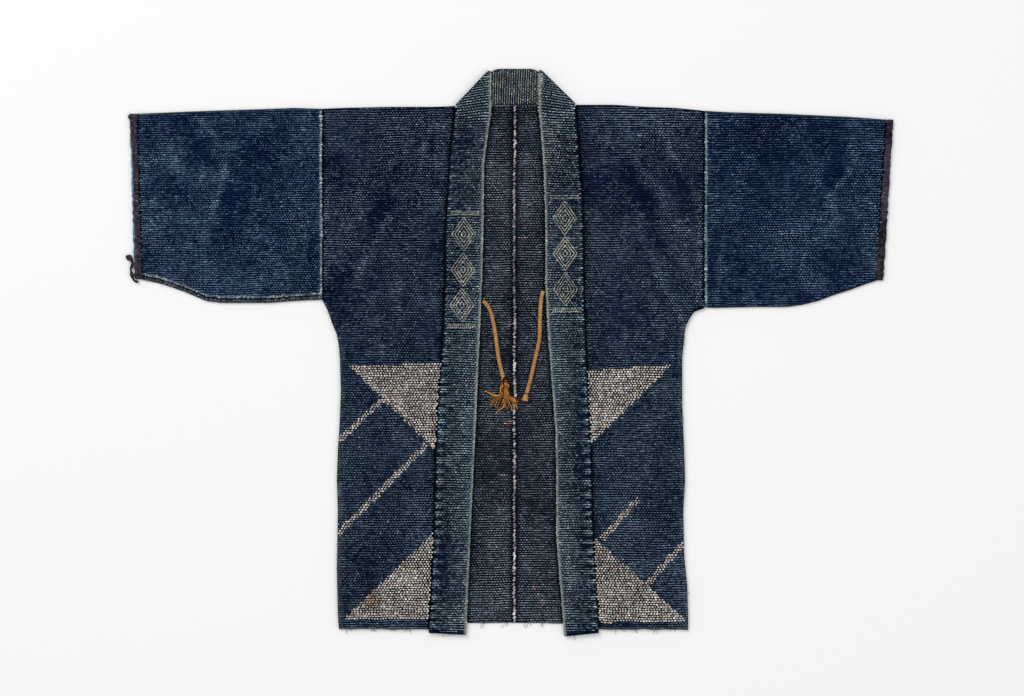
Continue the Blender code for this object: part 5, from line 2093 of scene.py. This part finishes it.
@dataclass
class Studio:
    """A pale floor, soft light from above and a camera looking straight down."""

    centre: Point = (0.00405, 0.0073)
    distance: float = 4.0
    lens: float = 86.8
    sky: float = 0.535
    floor_tone: Colour = linear(246, 246, 246)
    floor_reach: float = 6000.0
    floor_height: float = -0.3

    def camera(self) -> None:
        """Make the camera the scene's own."""
        data = bpy.data.cameras.new("camera")
        data.lens = self.lens
        data.sensor_width = 36.0
        data.clip_end = 50.0
        item = bpy.data.objects.new("camera", data)
        item.location = (*self.centre, self.distance)
        bpy.context.scene.collection.objects.link(item)
        bpy.context.scene.camera = item

    def light(self) -> None:
        """Two wide soft lights and an even sky."""
        scene = bpy.context.scene
        for name, (x, y, z), size, power in (
            ("key", (-2.8, 3.0, 5.2), 4.4, 200.0),
            ("fill", (3.2, -1.8, 5.6), 5.2, 98.0),
        ):
            data = bpy.data.lights.new(name, "AREA")
            data.shape = "DISK"
            data.size = size
            data.energy = power
            item = bpy.data.objects.new(name, data)
            item.location = (x, y, z)
            item.rotation_euler = (math.atan2(math.hypot(x, y), z), 0.0, math.atan2(x, -y))
            scene.collection.objects.link(item)
        world = bpy.data.worlds.new("sky")
        world.use_nodes = True
        sky = world.node_tree.nodes["Background"]
        sky.inputs["Color"].default_value = (1.0, 1.0, 1.0, 1.0)
        sky.inputs["Strength"].default_value = self.sky
        scene.world = world
        scene.view_settings.view_transform = "Standard"

    def floor(self) -> None:
        """A plain sheet well past the view."""
        side, low = self.floor_reach, self.floor_height
        corners = np.array([(-side, -side, low), (side, -side, low), (side, side, low), (-side, side, low)])
        item = make_mesh("floor", corners, np.array([(0, 1, 2), (0, 2, 3)]))
        paper = Shading("pale_floor")
        tone = (*self.floor_tone, 1.0)
        paper.fill(paper.shader, {"Base Color": tone, "Roughness": 0.95, "Specular IOR Level": 0.1})
        item.data.materials.append(paper.made)


# The coat's lines, Y then X for upright ones and X then Y for level ones

SIDE_LEFT = Seam((
    (-448, -276.2), (-425.3, -277.8), (-352.4, -279.5), (-255.2, -277.8), (-206.6, -279.5),
    (-158, -277.8), (-109.4, -274.6), (-60.8, -273), (-8.9, -274.6), (10.5, -276.2),
    (30, -279.5), (49.4, -287.6), (68.9, -294), (78.6, -298.9), (86, -302.7), (400, -302.7),
))
SIDE_RIGHT = Seam((
    (-448, 289.2), (-425.3, 289.2), (-376.7, 287.6), (-328.1, 282.7), (-255.2, 281.1),
    (-206.6, 284.3), (-158, 282.7), (-85.1, 279.5), (-8.9, 279.5), (20.3, 282.7),
    (39.7, 284.3), (49.4, 287.6), (59.1, 292.4), (68.9, 298.9), (76, 315.7), (400, 315.7),
))
SEWN_LEFT = Seam((
    (-453.6, -130.9), (-379.9, -126), (-283.8, -121.3), (-155.8, -118.1), (-75.8, -114.9),
    (-2.4, -108.5), (114.2, -103.8), (198.5, -102.9), (316.7, -95.6), (387, -87.6), (403, -84.4),
))
SEWN_RIGHT = Seam((
    (-453.6, 144.7), (-348, 138.3), (-268, 133.5), (-171.9, 131.9), (-125.6, 130.2),
    (-75.3, 127.2), (20.3, 122.3), (80.7, 120.7), (198.5, 118.9), (242.2, 117.8),
    (328.9, 111.5), (387, 107.2), (403, 105.3),
))
FREE_LEFT = Seam((
    (-456.8, -70.1), (-379.9, -66.9), (-235.7, -60.4), (-107.7, -54.1), (-2.4, -49.4),
    (114.2, -44.6), (198.5, -42.3), (304.1, -41), (361.1, -33.5), (387, -29.5),
))
FREE_RIGHT = Seam((
    (-459.3, 88.6), (-379.9, 82.3), (-299.9, 75.8), (-203.8, 75.8), (-125.6, 74.4), (-50.1, 68.5),
    (45, 61.4), (114.2, 57.8), (198.5, 58.2), (291.6, 55.7), (341.3, 52), (387, 47.8),
))
SHOULDER_LEFT = Seam((
    (-608.3, 386.4), (-491.7, 391.2), (-388, 394.5), (-349.1, 396.1), (-303.8, 394.6),
    (-266.5, 396.1), (-193.6, 397.7), (-120.7, 397.7), (-87.5, 399), (8.1, 402.4),
))
SHOULDER_RIGHT = Seam((
    (8.1, 402.4), (106, 401), (170.9, 401), (219.5, 397.7), (268.1, 396.1), (316.7, 391.2),
    (357.2, 389), (447.9, 386.4), (551.6, 381.5), (616.4, 376.7),
))
UNDERARM_LEFT = Seam((
    (-608.3, 120.7), (-569.4, 112.6), (-543.5, 104.5), (-517.6, 94.8), (-491.7, 83.4),
    (-465.8, 80.2), (-388, 80.2), (-349.1, 83.4), (-303, 85.5),
))
UNDERARM_RIGHT = Seam((
    (316, 73), (331, 72.1), (396.1, 73.7), (447.9, 73.7), (473.9, 77), (499.8, 83.4),
    (525.7, 93.2), (551.6, 101.3), (577.5, 111), (603.5, 119.1),
))
CUFF_LEFT = Seam(((119.1, -606.7), (384.8, -614.8)))
CUFF_RIGHT = Seam(((117.5, 605.1), (375, 621.3)))
TURNS = (((-83.8, 396.9), (-29.8, 453.6)), ((103.3, 398.9), (46.4, 454.6)))
TIE_LEFT = (
    (-43.1, 83.6), (-37.8, 78.6), (-33.3, 72), (-29.4, 62), (-26.4, 50), (-24, 37), (-21.9, 23),
    (-20, 8), (-18.2, -6), (-15.4, -20), (-12.2, -33), (-9.4, -42.5),
)
TIE_RIGHT = (
    (54.4, 99.6), (51.8, 90), (50.4, 78), (49.7, 66), (49.3, 52), (49, 36), (48, 20),
    (44.6, 3), (40.8, -13), (37.4, -29), (33.6, -45), (29.4, -60), (27.6, -66),
)
# X, Y and how thick the thread is
THREAD_ROUTE = (
    (-600.6, 114.4, 1.2), (-605.8, 115.2, 1.8), (-609.7, 120.6, 2.3), (-611.6, 128, 2.4),
    (-612.9, 135.6, 1.9), (-610.7, 141, 2.1), (-610.3, 146.4, 1.8), (-612.4, 150.6, 2.3),
    (-615.2, 153, 3.9), (-617.9, 154.8, 3.7), (-620.6, 156.2, 1.4),
)

LEFT_MOTIF = (
    Shape(((-262, -20), (-110, -18), (-118, -160))),
    Bar((-202, -73), (-276, -143)),
    Bar((-135, -150), (-280, -296)),
    Shape(((-122, -290), (-270, -433), (-132, -433))),
)
RIGHT_MOTIF = (
    Shape(((125, -28), (262, -20), (131, -150))),
    Bar((150, -302), (209, -236)),
    Bar((220, -378), (285, -304)),
    Shape(((134, -296), (288, -435), (146, -438))),
)


def main() -> None:
    """Build the coat in order."""
    logging.basicConfig(level=logging.INFO, format="%(name)s %(message)s")
    studio = Studio()
    studio.camera()
    wardrobe = Wardrobe(
        ClothFinish("indigo_cotton").material(),
        ThreadFinish("running_thread").material(),
        ThreadFinish("ochre_cotton_cord", strand=420.0, stretch=(1.0, 1.0, 1.0)).material(),
        ThreadFinish("dark_whipping", strand=500.0, stretch=(1.0, 1.0, 1.0)).material(),
    )
    tassel = Tassel(wardrobe, "tie_left_tassel").build()
    knot = Knot(wardrobe, "tie_right_knot").build()
    Tie(wardrobe, "tie_left", TIE_LEFT).build([tassel])
    Tie(wardrobe, "tie_right", TIE_RIGHT).build([knot])
    studio.light()
    studio.floor()

    left = BodySide(
        wardrobe, "body_left", Hand.LEFT, SIDE_LEFT, SEWN_LEFT, SHOULDER_LEFT, NECK_X[0],
        LEFT_MOTIF, FREE_LEFT.moved(-8.0),
    )
    right = BodySide(
        wardrobe, "body_right", Hand.RIGHT, SIDE_RIGHT, SEWN_RIGHT, SHOULDER_RIGHT, NECK_X[1],
        RIGHT_MOTIF, FREE_RIGHT.moved(8.0),
    )
    for half in (left, right):
        shell = half.build()
        half.sew()
    left = Sleeve(
        wardrobe, "sleeve_left", Hand.LEFT, ARMHOLES[0], SHOULDER_LEFT, UNDERARM_LEFT, CUFF_LEFT,
        Quilting(3.6, 4.5, seed=23),
    )
    right = Sleeve(
        wardrobe, "sleeve_right", Hand.RIGHT, ARMHOLES[1], SHOULDER_RIGHT, UNDERARM_RIGHT, CUFF_RIGHT,
        Quilting(3.85, 4.7, seed=24), lipped=False,
    )
    for sleeve in (left, right):
        shell = sleeve.build()
        sleeve.sew()
    sewn, free = (SEWN_LEFT, SEWN_RIGHT), (FREE_LEFT, FREE_RIGHT)
    band = CollarBand(wardrobe, "collar_band", sewn, free, TURNS)
    shell = band.build()
    band.sew()
    CentreSeam(wardrobe, "centre_seam").build()
    CuffBinding(wardrobe, "cuff_binding_left", Hand.LEFT, CUFF_LEFT, 118.6, 386.4).build()
    CuffBinding(wardrobe, "cuff_binding_right", Hand.RIGHT, CUFF_RIGHT, 116.8, 377.0).build()
    CuffThread(wardrobe, "cuff_thread_left", THREAD_ROUTE).build()
    HemFrays(wardrobe, "hem_frays").build()


if __name__ == "__main__":
    main()
